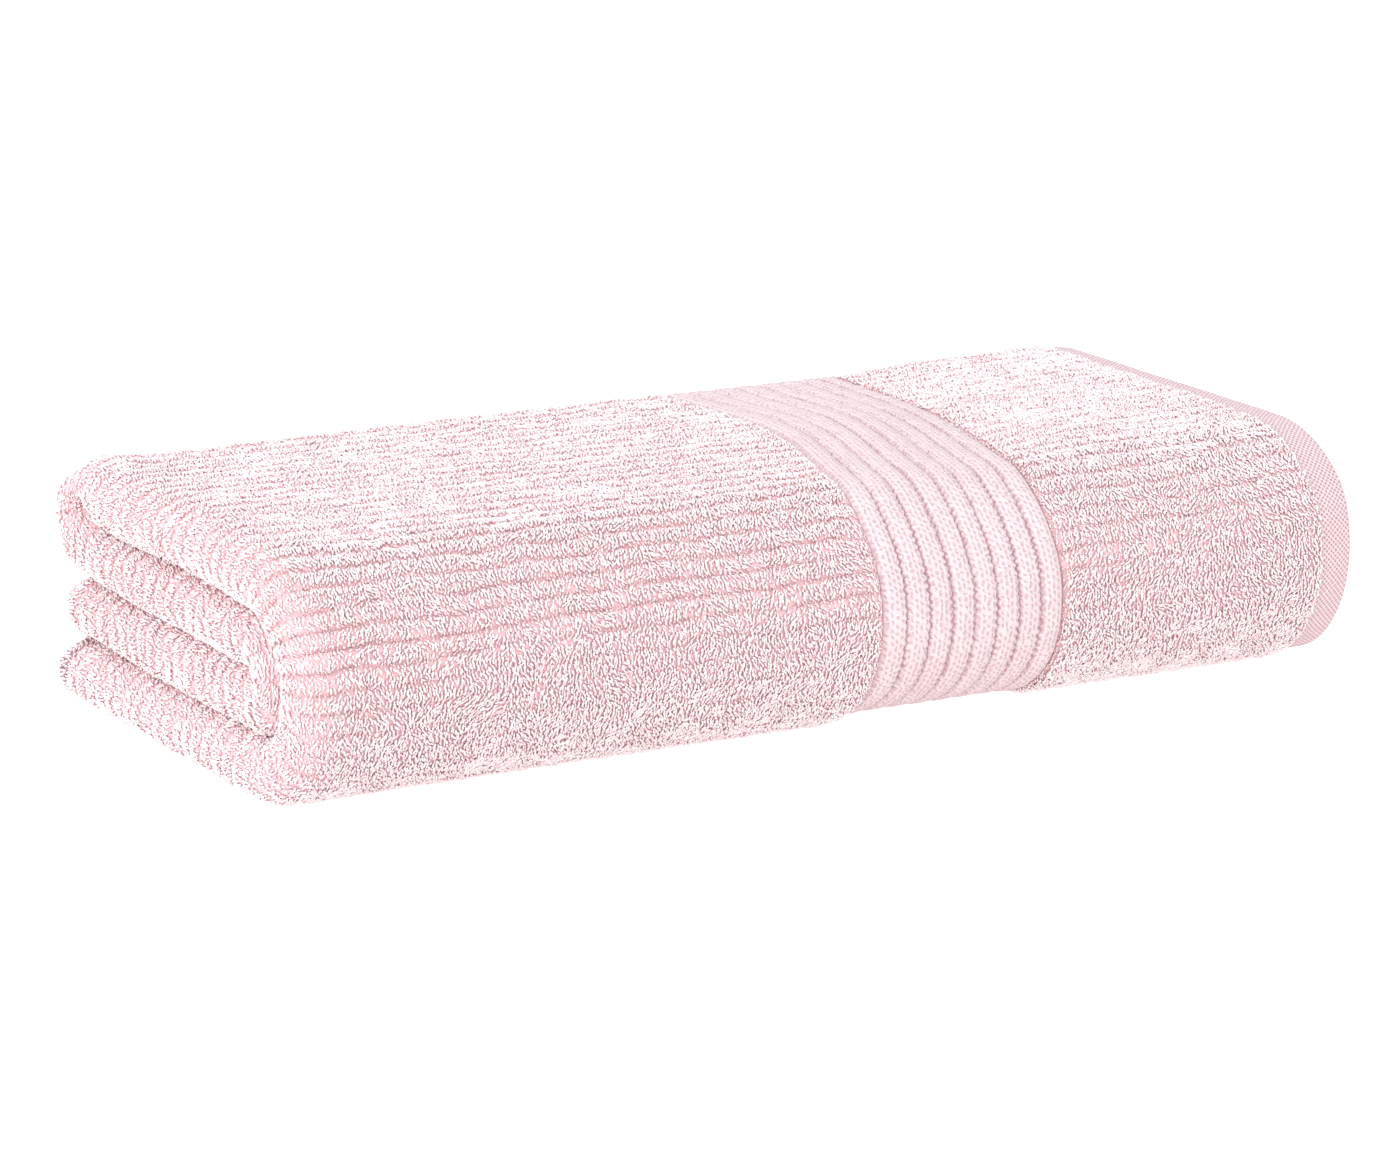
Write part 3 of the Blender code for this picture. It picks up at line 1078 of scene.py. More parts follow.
@dataclass
class TerryCloth:
    """The terry's ground cloth: the main field, and the header between each border and its hem."""

    plan: FoldPlan
    ribs: RibbedSurface
    palette: Palette
    under_hem: float = 0.7 * MM
    edge_fall: float = 2.5 * MM
    back_lift: float = -2.2 * MM

    def columns(self, fine: bool) -> np.ndarray:
        """Places across the towel, close together where the ribs show.

        Args:
            fine: Whether this cloth lies on the outside.

        Returns:
            The places.
        """
        marks = self.plan.t_marks
        inside, outside, below = (1.85 * MM, 0.95 * MM, 1.5 * MM) if fine else (7 * MM, 4 * MM, 7 * MM)
        return spaced([(SIDE_TRIM, marks[3], inside), (marks[3], marks[6], outside),
                       (marks[6], marks[7] - SIDE_TRIM, below)])

    def face(self, low: float, high: float) -> Callable:
        """Lift of the face between two ends. It falls away to a border, and stays full against a hem.

        Args:
            low: Where the cloth starts.
            high: Where it ends.

        Returns:
            A function of places on the cloth.
        """
        by_hem = low < HEADER_END

        def lift(a: np.ndarray, t: np.ndarray) -> np.ndarray:
            """Ribbed lift, lower by a border."""
            near_low = 1.0 if by_hem else smooth_step(0.0, self.edge_fall, a - low)
            fall = near_low * smooth_step(0.0, self.edge_fall, high - a)
            return self.ribs.lift(a, t) * (0.35 + 0.65 * fall)

        return lift

    def piece(self, name: str, rows: np.ndarray, fine: bool, node: str, flat: tuple) -> bpy.types.Object:
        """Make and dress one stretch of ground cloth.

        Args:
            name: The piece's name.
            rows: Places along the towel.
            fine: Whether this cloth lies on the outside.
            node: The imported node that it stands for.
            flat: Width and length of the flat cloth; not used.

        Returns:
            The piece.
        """
        lift = self.face(float(rows[0]), float(rows[-1]))

        def back(a: np.ndarray, t: np.ndarray) -> np.ndarray:
            """Even lift of the hidden back."""
            return np.full_like(a, self.back_lift)

        item = Slab(self.plan, name, rows, self.columns(fine), lift, back).build()
        item.data.materials.append(self.palette.ground)
        settle(item, [node])
        return item

    def build(self) -> list:
        """Make the field and both headers.

        Returns:
            The pieces.
        """
        plan = self.plan
        hidden = 25 * MM
        edge = 3 * MM
        field_rows = spaced([
            (BORDER_END, BORDER_END + edge, 1 * MM),
            (BORDER_END + edge, plan.a_outer_turn, 4 * MM),
            (plan.a_outer_turn, plan.a_under_ply, 2.2 * MM),
            (plan.a_under_ply, plan.a_right_turn - 2 * MM, hidden),
            (plan.a_right_turn - 2 * MM, plan.a_return_ply, 2.1 * MM),
            (plan.a_return_ply, plan.a_inner_turn, hidden),
            (plan.a_inner_turn, plan.a_inner_ply, 1.4 * MM),
            (plan.a_inner_ply, plan.a_end - BORDER_END, hidden),
        ])
        start, end = HEM_WIDTH - self.under_hem, HEADER_END
        outer_rows = spaced([(start, start + edge, 1 * MM), (start + edge, end - edge, 4 * MM),
                             (end - edge, end, 1 * MM)])
        inner_rows = spaced([(plan.a_end - end, plan.a_end - start, 12 * MM)])
        header_flat = (CLOTH_WIDTH, 0.096)
        return [
            self.piece("terry_field_cloth", field_rows, True, "terry_field", (CLOTH_WIDTH, 1.143)),
            self.piece("outer_header_cloth", outer_rows, True, "header_terry_outer", header_flat),
            self.piece("inner_header_cloth", inner_rows, False, "header_terry_inner", header_flat),
        ]


@dataclass
class LoopPatch:
    """A patch of looped pile.

    Attributes:
        name: The piece's name.
        a_span: Start and end along the towel.
        t_span: Start and end across it.
        spacing: Distance between loops.
        seed: Sets the loops' lie.
        fade: Ends along the towel near which the loops are shorter.
    """

    name: str
    a_span: tuple
    t_span: tuple
    spacing: float
    seed: int
    fade: Optional[tuple] = None


@dataclass
class LoopPile:
    """The looped pile that covers the terry, each loop a short arch of yarn bent over to one side.

    Attributes:
        plan: The fold.
        ribs: The face that the loops stand on.
        palette: The finishes.
        length: Distance between a loop's feet.
        rise: Height of its top.
        yarn: Half the thickness of its yarn.
        root: Depth of its feet in the ground.
        ring_sides: Sides of the yarn.
        jitter: How far a loop strays from its row, as a share of the spacing.
        smallest: Size of the smallest loops, as a share.
        largest: Size of the largest.
        turn_spread: How far loops turn away from their neighbours, in radians.
        lean_spread: How far they lean over, in millimetres.
        calm_share: How much lower the flatter pile is.
        fade_reach: Length over which the pile grows from an edge.
        close: Spacing where the pile shows.
        looser: Spacing at the back and the right end's folds.
        sparse: Spacing on the underside.
    """

    plan: FoldPlan
    ribs: RibbedSurface
    palette: Palette
    length: float = 1.65 * MM
    rise: float = 0.80 * MM
    yarn: float = 0.46 * MM
    root: float = 0.35 * MM
    ring_sides: int = 3
    jitter: float = 0.32
    smallest: float = 0.84
    largest: float = 1.18
    turn_spread: float = 0.26
    lean_spread: float = 0.18
    calm_share: float = 0.40
    fade_reach: float = 2.5 * MM
    close: float = 1.09 * MM
    looser: float = 1.35 * MM
    sparse: float = 2.2 * MM

    def calm(self, a: np.ndarray, t: np.ndarray) -> np.ndarray:
        """Where the pile lies flatter: on the level layers and over the left end.

        Args:
            a: Distances from the towel's outer end.
            t: Distances from the third layer's free edge.

        Returns:
            Shares, from 0 for standing pile to 1 for flat pile.
        """
        level = smooth_step(8 * MM, -10 * MM, t - self.plan.t_marks[5])
        left_end = smooth_step(-12 * MM, 6 * MM, a - self.plan.a_outer_turn)
        return np.maximum(level, left_end)

    def lie(self, a: np.ndarray, t: np.ndarray) -> np.ndarray:
        """Direction that the loops of a place lie in, as an angle from the towel's length.

        Args:
            a: Distances from the towel's outer end.
            t: Distances from the third layer's free edge.

        Returns:
            Angles in radians.
        """
        swirl = Unevenness(31, 8.5 * MM).at(a, t)
        detail = Unevenness(32, 3.6 * MM).at(a, t)
        return math.pi / 2 + 0.65 * swirl + 0.55 * detail

    def scatter(self, patch: LoopPatch) -> tuple:
        """Places of a patch's loops, thinned where the fold draws the cloth together.

        Args:
            patch: The patch.

        Returns:
            Places along and across the towel, and the random numbers that go on with the patch.
        """
        draw = np.random.default_rng(patch.seed)
        step = patch.spacing
        rows = np.arange(patch.a_span[0] + step / 2, patch.a_span[1], step)
        columns = np.arange(patch.t_span[0] + step / 2, patch.t_span[1], step)
        a, t = np.meshgrid(rows, columns, indexing="ij")
        t = t + (np.arange(len(rows)) % 2)[:, None] * step / 2
        a = (a + draw.uniform(-self.jitter, self.jitter, a.shape) * step).ravel()
        t = (t + draw.uniform(-self.jitter, self.jitter, t.shape) * step).ravel()
        probe = 0.2 * MM
        lift = self.ribs.base + self.ribs.relief
        here = self.plan.place(a, t, lift)
        by_a = np.linalg.norm(self.plan.place(a + probe, t, lift) - here, axis=-1) / probe
        by_t = np.linalg.norm(self.plan.place(a, t + probe, lift) - here, axis=-1) / probe
        held = draw.uniform(0.0, 1.0, a.shape) < by_a * by_t
        return a[held], t[held], draw

    def patch(self, patch: LoopPatch) -> bpy.types.Object:
        """Make one patch of loops.

        Args:
            patch: The patch.

        Returns:
            The piece.
        """
        a, t, draw = self.scatter(patch)
        count = len(a)
        furrow = self.ribs.furrow(a, t)
        ground = self.ribs.lift(a, t)
        size = draw.uniform(self.smallest, self.largest, count) * (1 - 0.25 * furrow)
        if patch.fade is not None:
            start, end = patch.fade
            grown = smooth_step(0.0, self.fade_reach, a - start) * smooth_step(0.0, self.fade_reach, end - a)
            size = size * (0.6 + 0.4 * grown)
            ground = ground * (0.45 + 0.55 * grown)
        angle = self.lie(a, t) + draw.normal(0.0, self.turn_spread, count)
        lean = draw.normal(0.0, self.lean_spread, count) * MM
        half = self.length / 2 * size
        rise = self.rise * size * draw.uniform(0.7, 1.25, count) * (1 - self.calm_share * self.calm(a, t))
        along = np.stack([-half, -0.50 * half, 0.50 * half, half])
        side = np.stack([np.zeros(count), lean, lean, np.zeros(count)])
        foot = np.full(count, -self.root)
        high = np.stack([foot, rise, rise * draw.uniform(0.8, 1.1, count), foot])
        step_a = along * np.cos(angle) - side * np.sin(angle)
        step_t = along * np.sin(angle) + side * np.cos(angle)
        centres = self.plan.place(a + step_a, t + step_t, ground + high)
        above = self.plan.place(a + step_a, t + step_t, ground + high + 0.3 * MM)
        thick = self.yarn * size * draw.uniform(0.85, 1.15, count)
        rings = []
        for rank in (1, 2):
            onward = unit(centres[rank + 1] - centres[rank - 1])
            sideways = unit(np.cross(onward, above[rank] - centres[rank]))
            upward = np.cross(sideways, onward)
            for side_number in range(self.ring_sides):
                turn = math.tau * side_number / self.ring_sides + math.pi / 2
                reach = sideways * math.cos(turn) + upward * math.sin(turn)
                rings.append(centres[rank] + reach * thick[:, None])
        points = np.stack([centres[0], *rings, centres[3]], axis=1)
        return self.finish(patch.name, points, self.shades(furrow, draw))

    def shades(self, furrow: np.ndarray, draw: np.random.Generator) -> np.ndarray:
        """Choose each loop's shade: a random tone, deepened in the furrows as painted shade. A loop's legs are
        one shade deeper, as painted shade at its feet.

        Args:
            furrow: Depth of the furrow at each loop.
            draw: Random numbers.

        Returns:
            The shades' numbers.
        """
        # The furrow term is painted shade: loops down in the furrows take deeper shades.
        pick = draw.uniform(0.0, 1.0, len(furrow)) + 0.45 * furrow
        return np.digitize(pick, [0.42, 0.88])

    def finish(self, name: str, points: np.ndarray, shades: np.ndarray) -> bpy.types.Object:
        """Join the loops' corners into one mesh and dress it.

        Args:
            name: The piece's name.
            points: Corners of each loop: first foot, two rings, last foot.
            shades: Each loop's shade.

        Returns:
            The piece.
        """
        count, corners, _ = points.shape
        sides = self.ring_sides
        first = [1 + side for side in range(sides)]
        second = [1 + sides + side for side in range(sides)]
        caps = []
        walls = []
        for side in range(sides):
            after = (side + 1) % sides
            caps.append([0, first[after], first[side]])
            caps.append([corners - 1, second[side], second[after]])
            walls.append([first[side], first[after], second[after], second[side]])
        base = (np.arange(count) * corners)[:, None, None]
        cap_faces = (np.array(caps)[None] + base).reshape(-1, 3)
        wall_faces = (np.array(walls)[None] + base).reshape(-1, 4)
        # Legs take the next deeper shade: painted shade at the loops' feet.
        slots = np.concatenate([np.repeat(shades + 1, len(caps)), np.repeat(shades, len(walls))])
        item = mesh_object(name, points.reshape(-1, 3), [cap_faces, wall_faces], slots=slots)
        for shade in self.palette.pile:
            item.data.materials.append(shade)
        return settle(item)

    def build(self) -> list:
        """Cover everything that shows.

        Returns:
            The pieces.
        """
        plan, marks = self.plan, self.plan.t_marks
        last = marks[7] - SIDE_TRIM
        back, top = (marks[3], marks[4]), (marks[4], marks[5])
        front, under = (marks[5], marks[6]), (marks[6], last)
        start, left = BORDER_END + WEAVE_GAP, plan.a_outer_turn
        half = (start + left) / 2
        right_part, left_part, ends = (start, half), (half, left), (start, plan.a_end)
        header = (HEM_WIDTH - 1.3 * MM, HEADER_END + 0.7 * MM)
        header_ends = (0.0, header[1])
        left_turn = (left, plan.a_under_ply)
        right_turn = (plan.a_right_turn - 3 * MM, plan.a_return_ply)
        edge = 2 * MM
        patches = [
            LoopPatch("pile_top_right", right_part, top, self.close, 41, ends),
            LoopPatch("pile_top_left", left_part, top, self.close, 42, ends),
            LoopPatch("pile_front_right", right_part, front, self.close, 43, ends),
            LoopPatch("pile_front_left", left_part, front, self.close, 44, ends),
            LoopPatch("pile_header_top", header, top, self.close, 45, header_ends),
            LoopPatch("pile_header_front", header, front, self.close, 46, header_ends),
            LoopPatch("pile_back_fold", (start, left), back, self.looser, 47, ends),
            LoopPatch("pile_header_back", header, back, self.looser, 48, header_ends),
            LoopPatch("pile_left_upper", left_turn, (marks[3], marks[5]), self.close, 49),
            LoopPatch("pile_left_wrap", left_turn, (marks[5], marks[7] - edge), self.close, 50),
            LoopPatch("pile_left_inner", left_turn, (edge, marks[3]), self.close, 51),
            LoopPatch("pile_right_turns", right_turn, (SIDE_TRIM, last), self.looser, 52),
            LoopPatch("pile_underside", (start, left), under, self.sparse, 53, ends),
            LoopPatch("pile_header_underside", header, under, self.sparse, 54, header_ends),
        ]
        return [self.patch(patch) for patch in patches]


@dataclass
class DobbyBorder:
    """The flat woven border: rounded bands across the towel, parted by thin wandering furrows.

    Attributes:
        plan: The fold.
        palette: The finishes.
        width: The border's width.
        bands: Its number of bands.
        lift: How far a band's edge stands off the middle of the cloth.
        crown: How much further its middle does.
        furrow_half: Half the width of a furrow.
        furrow_depth: Its depth.
        back_lift: Lift of the hidden back.
        crowding: How far rows of points draw towards the furrows.
    """

    plan: FoldPlan
    palette: Palette
    width: float = BORDER_WIDTH
    bands: int = 8
    lift: float = 1.9 * MM
    crown: float = 0.75 * MM
    furrow_half: float = 0.55 * MM
    furrow_depth: float = 1.5 * MM
    back_lift: float = -1.6 * MM
    crowding: float = 0.105

    @property
    def pitch(self) -> float:
        """Width of one band."""
        return self.width / self.bands

    def from_furrow(self, inward: np.ndarray, t: np.ndarray) -> tuple:
        """How far each place lies from the nearest furrow, and how far it is from the border's two ends.

        Args:
            inward: Distances from the border's start.
            t: Distances from the third layer's free edge.

        Returns:
            The distances to the furrow, and shares from 0 at either end to 1 half a band inside.
        """
        pitch = self.pitch
        drift = Unevenness(61, 6.0 * MM).at(t, inward * 0.6)
        saw = 0.34 * MM * np.sin(math.tau * t / (2.9 * MM) + 2.4 * drift + 1.7 * np.round(inward / pitch))
        saw = saw + 0.22 * MM * Unevenness(62, 1.4 * MM).at(t, inward * 0.15)
        inner = smooth_step(0.0, pitch * 0.5, inward) * smooth_step(0.0, pitch * 0.5, self.width - inward)
        place = (inward + saw * inner) / pitch
        return np.abs(place - np.round(place)) * pitch, inner

    def face(self, start: float) -> Callable:
        """Lift of the border's face.

        Args:
            start: Where the border starts along the towel.

        Returns:
            A function of places on the cloth.
        """
        pitch = self.pitch

        def lift(a: np.ndarray, t: np.ndarray) -> np.ndarray:
            """Crowned bands, furrows that saw from side to side, and ends that turn down."""
            inward = a - start
            reach, inner = self.from_furrow(inward, t)
            crown = self.crown * np.sqrt(np.clip(reach / (pitch / 2), 0.0, 1.0))
            groove = self.furrow_depth * swell(reach, 0.0, self.furrow_half)
            turn = 1.2 * MM
            ends = smooth_step(0.0, turn, inward) * smooth_step(0.0, turn, self.width - inward)
            slubs = 0.12 * MM * Unevenness(63, 1.1 * MM, 2.0).at(a, t)
            lift = self.lift + crown - groove * inner - (1 - inner) * 0.2 * MM + slubs
            return lift * (0.4 + 0.6 * ends)

        return lift

    def piece(self, name: str, start: float, fine: bool, node: str) -> bpy.types.Object:
        """Make and dress one border.

        Args:
            name: The piece's name.
            start: Where it starts along the towel.
            fine: Whether it lies on the outside.
            node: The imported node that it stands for.

        Returns:
            The piece.
        """
        marks = self.plan.t_marks
        inside, outside, below = (5 * MM, 0.62 * MM, 2 * MM) if fine else (7 * MM, 4 * MM, 7 * MM)
        columns = spaced([(SIDE_TRIM, marks[3], inside), (marks[3], marks[6], outside),
                          (marks[6], marks[7] - SIDE_TRIM, below)])
        rows = self.rows(start, 10 if fine else 4)

        def back(a: np.ndarray, t: np.ndarray) -> np.ndarray:
            """Even lift of the hidden back."""
            return np.full_like(a, self.back_lift)

        def shade(a: np.ndarray, t: np.ndarray) -> np.ndarray:
            """1 in the furrows, where the painted shade goes, and 0 on the bands."""
            reach, inner = self.from_furrow(a - start, t)
            return (reach < 0.55 * self.furrow_half) & (inner > 0.5)

        item = Slab(self.plan, name, rows, columns, self.face(start), back, 8 if fine else 1, shade).build()
        item.data.materials.append(self.palette.border)
        # The second slot holds the painted shade in the furrows.
        item.data.materials.append(self.palette.furrow)
        settle(item, [node])
        return item

    def rows(self, start: float, per_band: int) -> np.ndarray:
        """Places along the towel, closer together at the furrows.

        Args:
            start: Where the border starts.
            per_band: Rows in a band.

        Returns:
            The places.
        """
        even = np.arange(per_band) / per_band
        eased = even - self.crowding * np.sin(math.tau * even)
        places = [(band + share) / self.bands for band in range(self.bands) for share in eased]
        return start + self.width * np.array([*places, 1.0])

    def build(self) -> list:
        """Make both borders.

        Returns:
            The pieces.
        """
        start = HEADER_END + WEAVE_GAP
        return [
            self.piece("outer_border", start, True, "dobby_border_outer"),
            self.piece("inner_border", self.plan.a_end - start - self.width, False, "dobby_border_inner"),
        ]


@dataclass
class TurnedHems:
    """The woven edges, turned under twice and sewn, with their stitches.

    Attributes:
        plan: The fold.
        palette: The finishes.
        end_width: Width of the end hems.
        side_width: Width of the side hems.
        cloth: Thickness of the hem's cloth.
        clearance: Air between its turns.
        turn_steps: Points on a quarter turn of the outer turn, and on a half turn of the inner one.
        section_step: Distance between points on the flat runs.
        stitch: Length of a stitch.
        thread: Half the thread's thickness.
        seam_inset: Distance of the seam from the hem's inner edge.
    """

    plan: FoldPlan
    palette: Palette
    end_width: float = HEM_WIDTH
    side_width: float = SIDE_HEM_WIDTH
    cloth: float = 0.75 * MM
    clearance: float = 0.3 * MM
    turn_steps: int = 5
    section_step: float = 1.2 * MM
    stitch: float = 3.0 * MM
    thread: float = 0.26 * MM
    seam_inset: float = 2.2 * MM

    def section(self, width: float) -> tuple:
        """Both faces of the turned cloth, as lifts and distances in from the hem's outer edge.

        Args:
            width: The hem's width.

        Returns:
            The left and right faces' points and the distance along the cloth at each.
        """
        def flat_run(start: float, end: float) -> np.ndarray:
            """Evenly spaced places on a flat run."""
            return np.linspace(start, end, max(2, round(abs(end - start) / self.section_step)))

        pitch = self.cloth + self.clearance
        outer = pitch + self.cloth / 2
        inner = width - (pitch + self.cloth) / 2
        line = [(pitch, place) for place in flat_run(width, outer)]
        for number in range(1, 2 * self.turn_steps):
            turn = math.pi * number / (2 * self.turn_steps)
            line.append((pitch * math.cos(turn), outer - pitch * math.sin(turn)))
        line += [(-pitch, place) for place in flat_run(outer, inner)]
        for number in range(1, self.turn_steps):
            turn = math.pi * number / self.turn_steps
            line.append((-pitch / 2 - pitch / 2 * math.cos(turn), inner + pitch / 2 * math.sin(turn)))
        line += [(0.0, place) for place in np.linspace(inner, outer + self.cloth, 4)]
        points = np.array(line)
        ahead = np.gradient(points, axis=0)
        normal = unit(np.stack([-ahead[:, 1], ahead[:, 0]], -1)) * self.cloth / 2
        run = np.concatenate([[0.0], np.cumsum(np.linalg.norm(np.diff(points, axis=0), axis=1))])
        return points + normal, points - normal, run

    def sweep(self, name: str, width: float, route: np.ndarray, placed: Callable, node: str) -> bpy.types.Object:
        """Carry the turned section along a hem.

        Args:
            name: The piece's name.
            width: The hem's width.
            route: Places along the hem.
            placed: Turns route places, distances in and lifts into points.
            node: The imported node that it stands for.

        Returns:
            The piece.
        """
        left, right, run = self.section(width)
        outline = np.concatenate([left, right[::-1]])
        size, rows = len(outline), len(route)
        points = placed(route[:, None], outline[None, :, 1], outline[None, :, 0]).reshape(-1, 3)
        around = np.concatenate([run, run[::-1] + 2 * MM])
        flat = np.stack(np.broadcast_arrays(around[None, :], route[:, None]), -1).reshape(-1, 2)
        grid = np.arange(rows * size).reshape(rows, size)
        onward = np.roll(grid, -1, axis=1)
        walls = np.stack([grid[:-1], onward[:-1], onward[1:], grid[1:]], -1).reshape(-1, 4)
        half = np.arange(len(left) - 1)
        cap = np.stack([half, size - 1 - half, size - 2 - half, half + 1], -1)
        far = cap[:, ::-1] + grid[-1, 0]
        item = mesh_object(name, points, [walls, cap, far], flat)
        item.data.materials.append(self.palette.hem)
        settle(item, [node])
        return item

    def seam(self, name: str, route: np.ndarray, placed: Callable, node: str) -> bpy.types.Object:
        """Make a line of lockstitch that dips into the cloth between stitches.

        Args:
            name: The piece's name.
            route: Places along the hem.
            placed: Turns route places and lifts into points.
            node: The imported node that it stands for.

        Returns:
            The piece.
        """
        phase = (route % self.stitch) / self.stitch
        top = 1.5 * self.cloth + self.clearance
        bob = top - 0.50 * MM + 0.55 * MM * np.sin(math.pi * phase) ** 0.6
        centres = placed(route, bob)
        normal = unit(placed(route, bob + 0.2 * MM) - centres)
        onward = unit(np.gradient(centres, axis=0))
        sideways = unit(np.cross(onward, normal))
        upward = np.cross(sideways, onward)
        sides = 6
        rings = []
        for side in range(sides):
            turn = math.tau * side / sides
            rings.append(centres + self.thread * (sideways * math.cos(turn) + upward * math.sin(turn)))
        points = np.stack(rings, axis=1).reshape(-1, 3)
        rows = len(route)
        grid = np.arange(rows * sides).reshape(rows, sides)
        onward_grid = np.roll(grid, -1, axis=1)
        walls = np.stack([grid[:-1], onward_grid[:-1], onward_grid[1:], grid[1:]], -1).reshape(-1, 4)
        turns = np.arange(sides)[None] / sides
        flat = np.stack(np.broadcast_arrays(route[:, None], turns), -1).reshape(-1, 2)
        item = mesh_object(name, points, [walls, [grid[0, ::-1]], [grid[-1]]], flat)
        item.data.materials.append(self.palette.thread)
        return settle(item, [node])

    def wavy(self, a: np.ndarray, t: np.ndarray) -> np.ndarray:
        """How far a hem strays from its straight line."""
        return 0.35 * MM * Unevenness(71, 21 * MM).at(t, a)

    def end_hem(self, suffix: str, inner: bool) -> list:
        """Make one end's hem and its seam.

        Args:
            suffix: Tells the two ends' names apart.
            inner: Whether this is the inner end.

        Returns:
            The pieces.
        """
        plan, marks = self.plan, self.plan.t_marks
        route = spaced([(0.0, marks[1], 4 * MM), (marks[1], marks[2], 1.5 * MM), (marks[2], marks[3], 4 * MM),
                        (marks[3], marks[7], 2 * MM)])

        def edge(distance: np.ndarray, t: np.ndarray) -> np.ndarray:
            """Place along the towel at a distance in from its end."""
            strayed = distance + self.wavy(distance, t)
            return plan.a_end - strayed if inner else strayed

        def placed(t: np.ndarray, distance: np.ndarray, lift: np.ndarray) -> np.ndarray:
            """Points of the hem."""
            return plan.place(edge(distance, t), t, lift)

        def stitched(t: np.ndarray, lift: np.ndarray) -> np.ndarray:
            """Points of the seam."""
            return plan.place(edge(np.full_like(t, self.end_width - self.seam_inset), t), t, lift)

        hem = self.sweep("end_hem_cloth_" + suffix, self.end_width, route, placed, "end_hem_" + suffix)
        fine = np.arange(0.5 * MM, marks[7] - 0.5 * MM, self.stitch / 6)
        return [hem, self.seam("end_hem_seam_" + suffix, fine, stitched, "end_hem_thread_" + suffix)]

    def side_hem(self, suffix: str, lower: bool) -> list:
        """Make one long edge's hem and its seam, which follow all four plies.

        Args:
            suffix: Tells the two edges' names apart.
            lower: Whether this is the edge of the bottom layer.

        Returns:
            The pieces.
        """
        plan, marks = self.plan, self.plan.t_marks
        start, end = self.end_width + WEAVE_GAP, plan.a_end - self.end_width - WEAVE_GAP
        straight = 5 * MM
        route = spaced([
            (start, plan.a_outer_turn, straight),
            (plan.a_outer_turn, plan.a_under_ply, 2 * MM),
            (plan.a_under_ply, plan.a_right_turn, straight),
            (plan.a_right_turn, plan.a_return_ply, 1.5 * MM),
            (plan.a_return_ply, plan.a_inner_turn, straight),
            (plan.a_inner_turn, plan.a_inner_ply, 0.8 * MM),
            (plan.a_inner_ply, end, straight),
        ])

        def edge(a: np.ndarray, distance: np.ndarray) -> np.ndarray:
            """Place across the towel at a distance in from its long edge."""
            strayed = distance + 0.5 * MM * Unevenness(72 + lower, 30 * MM).at(a, distance)
            return marks[7] - strayed if lower else strayed

        def placed(a: np.ndarray, distance: np.ndarray, lift: np.ndarray) -> np.ndarray:
            """Points of the hem."""
            return plan.place(a, edge(a, distance), lift)

        def stitched(a: np.ndarray, lift: np.ndarray) -> np.ndarray:
            """Points of the seam."""
            return plan.place(a, edge(a, np.full_like(a, self.side_width - self.seam_inset)), lift)

        hem = self.sweep("side_hem_cloth_" + suffix, self.side_width, route, placed, "side_hem_" + suffix)
        fine = np.arange(start, end, self.stitch / 6)
        return [hem, self.seam("side_hem_seam_" + suffix, fine, stitched, "side_hem_thread_" + suffix)]

    def build(self) -> list:
        """Make all four hems.

        Returns:
            The pieces.
        """
        return [*self.end_hem("outer", False), *self.end_hem("inner", True),
                *self.side_hem("upper", False), *self.side_hem("lower", True)]


@dataclass
class CareLabel:
    """A blank tape label that hangs from the side hem and curls a little off the cloth below."""

    plan: FoldPlan
    palette: Palette
    thickness: float = 0.4 * MM

    def build(self) -> bpy.types.Object:
        """Make and dress the label.

        Returns:
            The piece.
        """
        low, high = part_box("care_label")
        rows, columns = 13, 19
        drop = np.linspace(0.0, 1.0, rows)[:, None]
        side = np.linspace(0.0, 1.0, columns)[None, :]
        x = low.x + (high.x - low.x) * side + 0.6 * MM * np.sin(3.0 * drop)
        curl = 1.1 * MM * drop ** 2 + 0.5 * MM * drop * np.sin(math.pi * side * 1.3)
        y = low.y + self.thickness / 2 + 0.5 * MM + curl
        z = high.z - (high.z - low.z) * drop * (1 - 0.02 * np.sin(math.pi * side))
        middle = np.stack(np.broadcast_arrays(x, y, z), -1)
        normal = unit(np.cross(np.gradient(middle, axis=0), np.gradient(middle, axis=1)))
        outer = middle + normal * self.thickness / 2
        inner = middle - normal * self.thickness / 2
        points = np.concatenate([outer.reshape(-1, 3), inner.reshape(-1, 3)])
        top = np.arange(rows * columns).reshape(rows, columns)
        under = top + rows * columns
        faces = [
            np.stack([top[:-1, :-1], top[1:, :-1], top[1:, 1:], top[:-1, 1:]], -1).reshape(-1, 4),
            np.stack([under[:-1, :-1], under[:-1, 1:], under[1:, 1:], under[1:, :-1]], -1).reshape(-1, 4),
            np.stack([top[0, :-1], top[0, 1:], under[0, 1:], under[0, :-1]], -1),
            np.stack([top[-1, 1:], top[-1, :-1], under[-1, :-1], under[-1, 1:]], -1),
            np.stack([top[1:, 0], top[:-1, 0], under[:-1, 0], under[1:, 0]], -1),
            np.stack([top[:-1, -1], top[1:, -1], under[1:, -1], under[:-1, -1]], -1),
        ]
        flat = np.concatenate([middle.reshape(-1, 3)[:, [0, 2]]] * 2)
        item = mesh_object("blank_care_label", points, faces, flat)
        item.data.materials.append(self.palette.label)
        settle(item, ["care_label"])
        return item


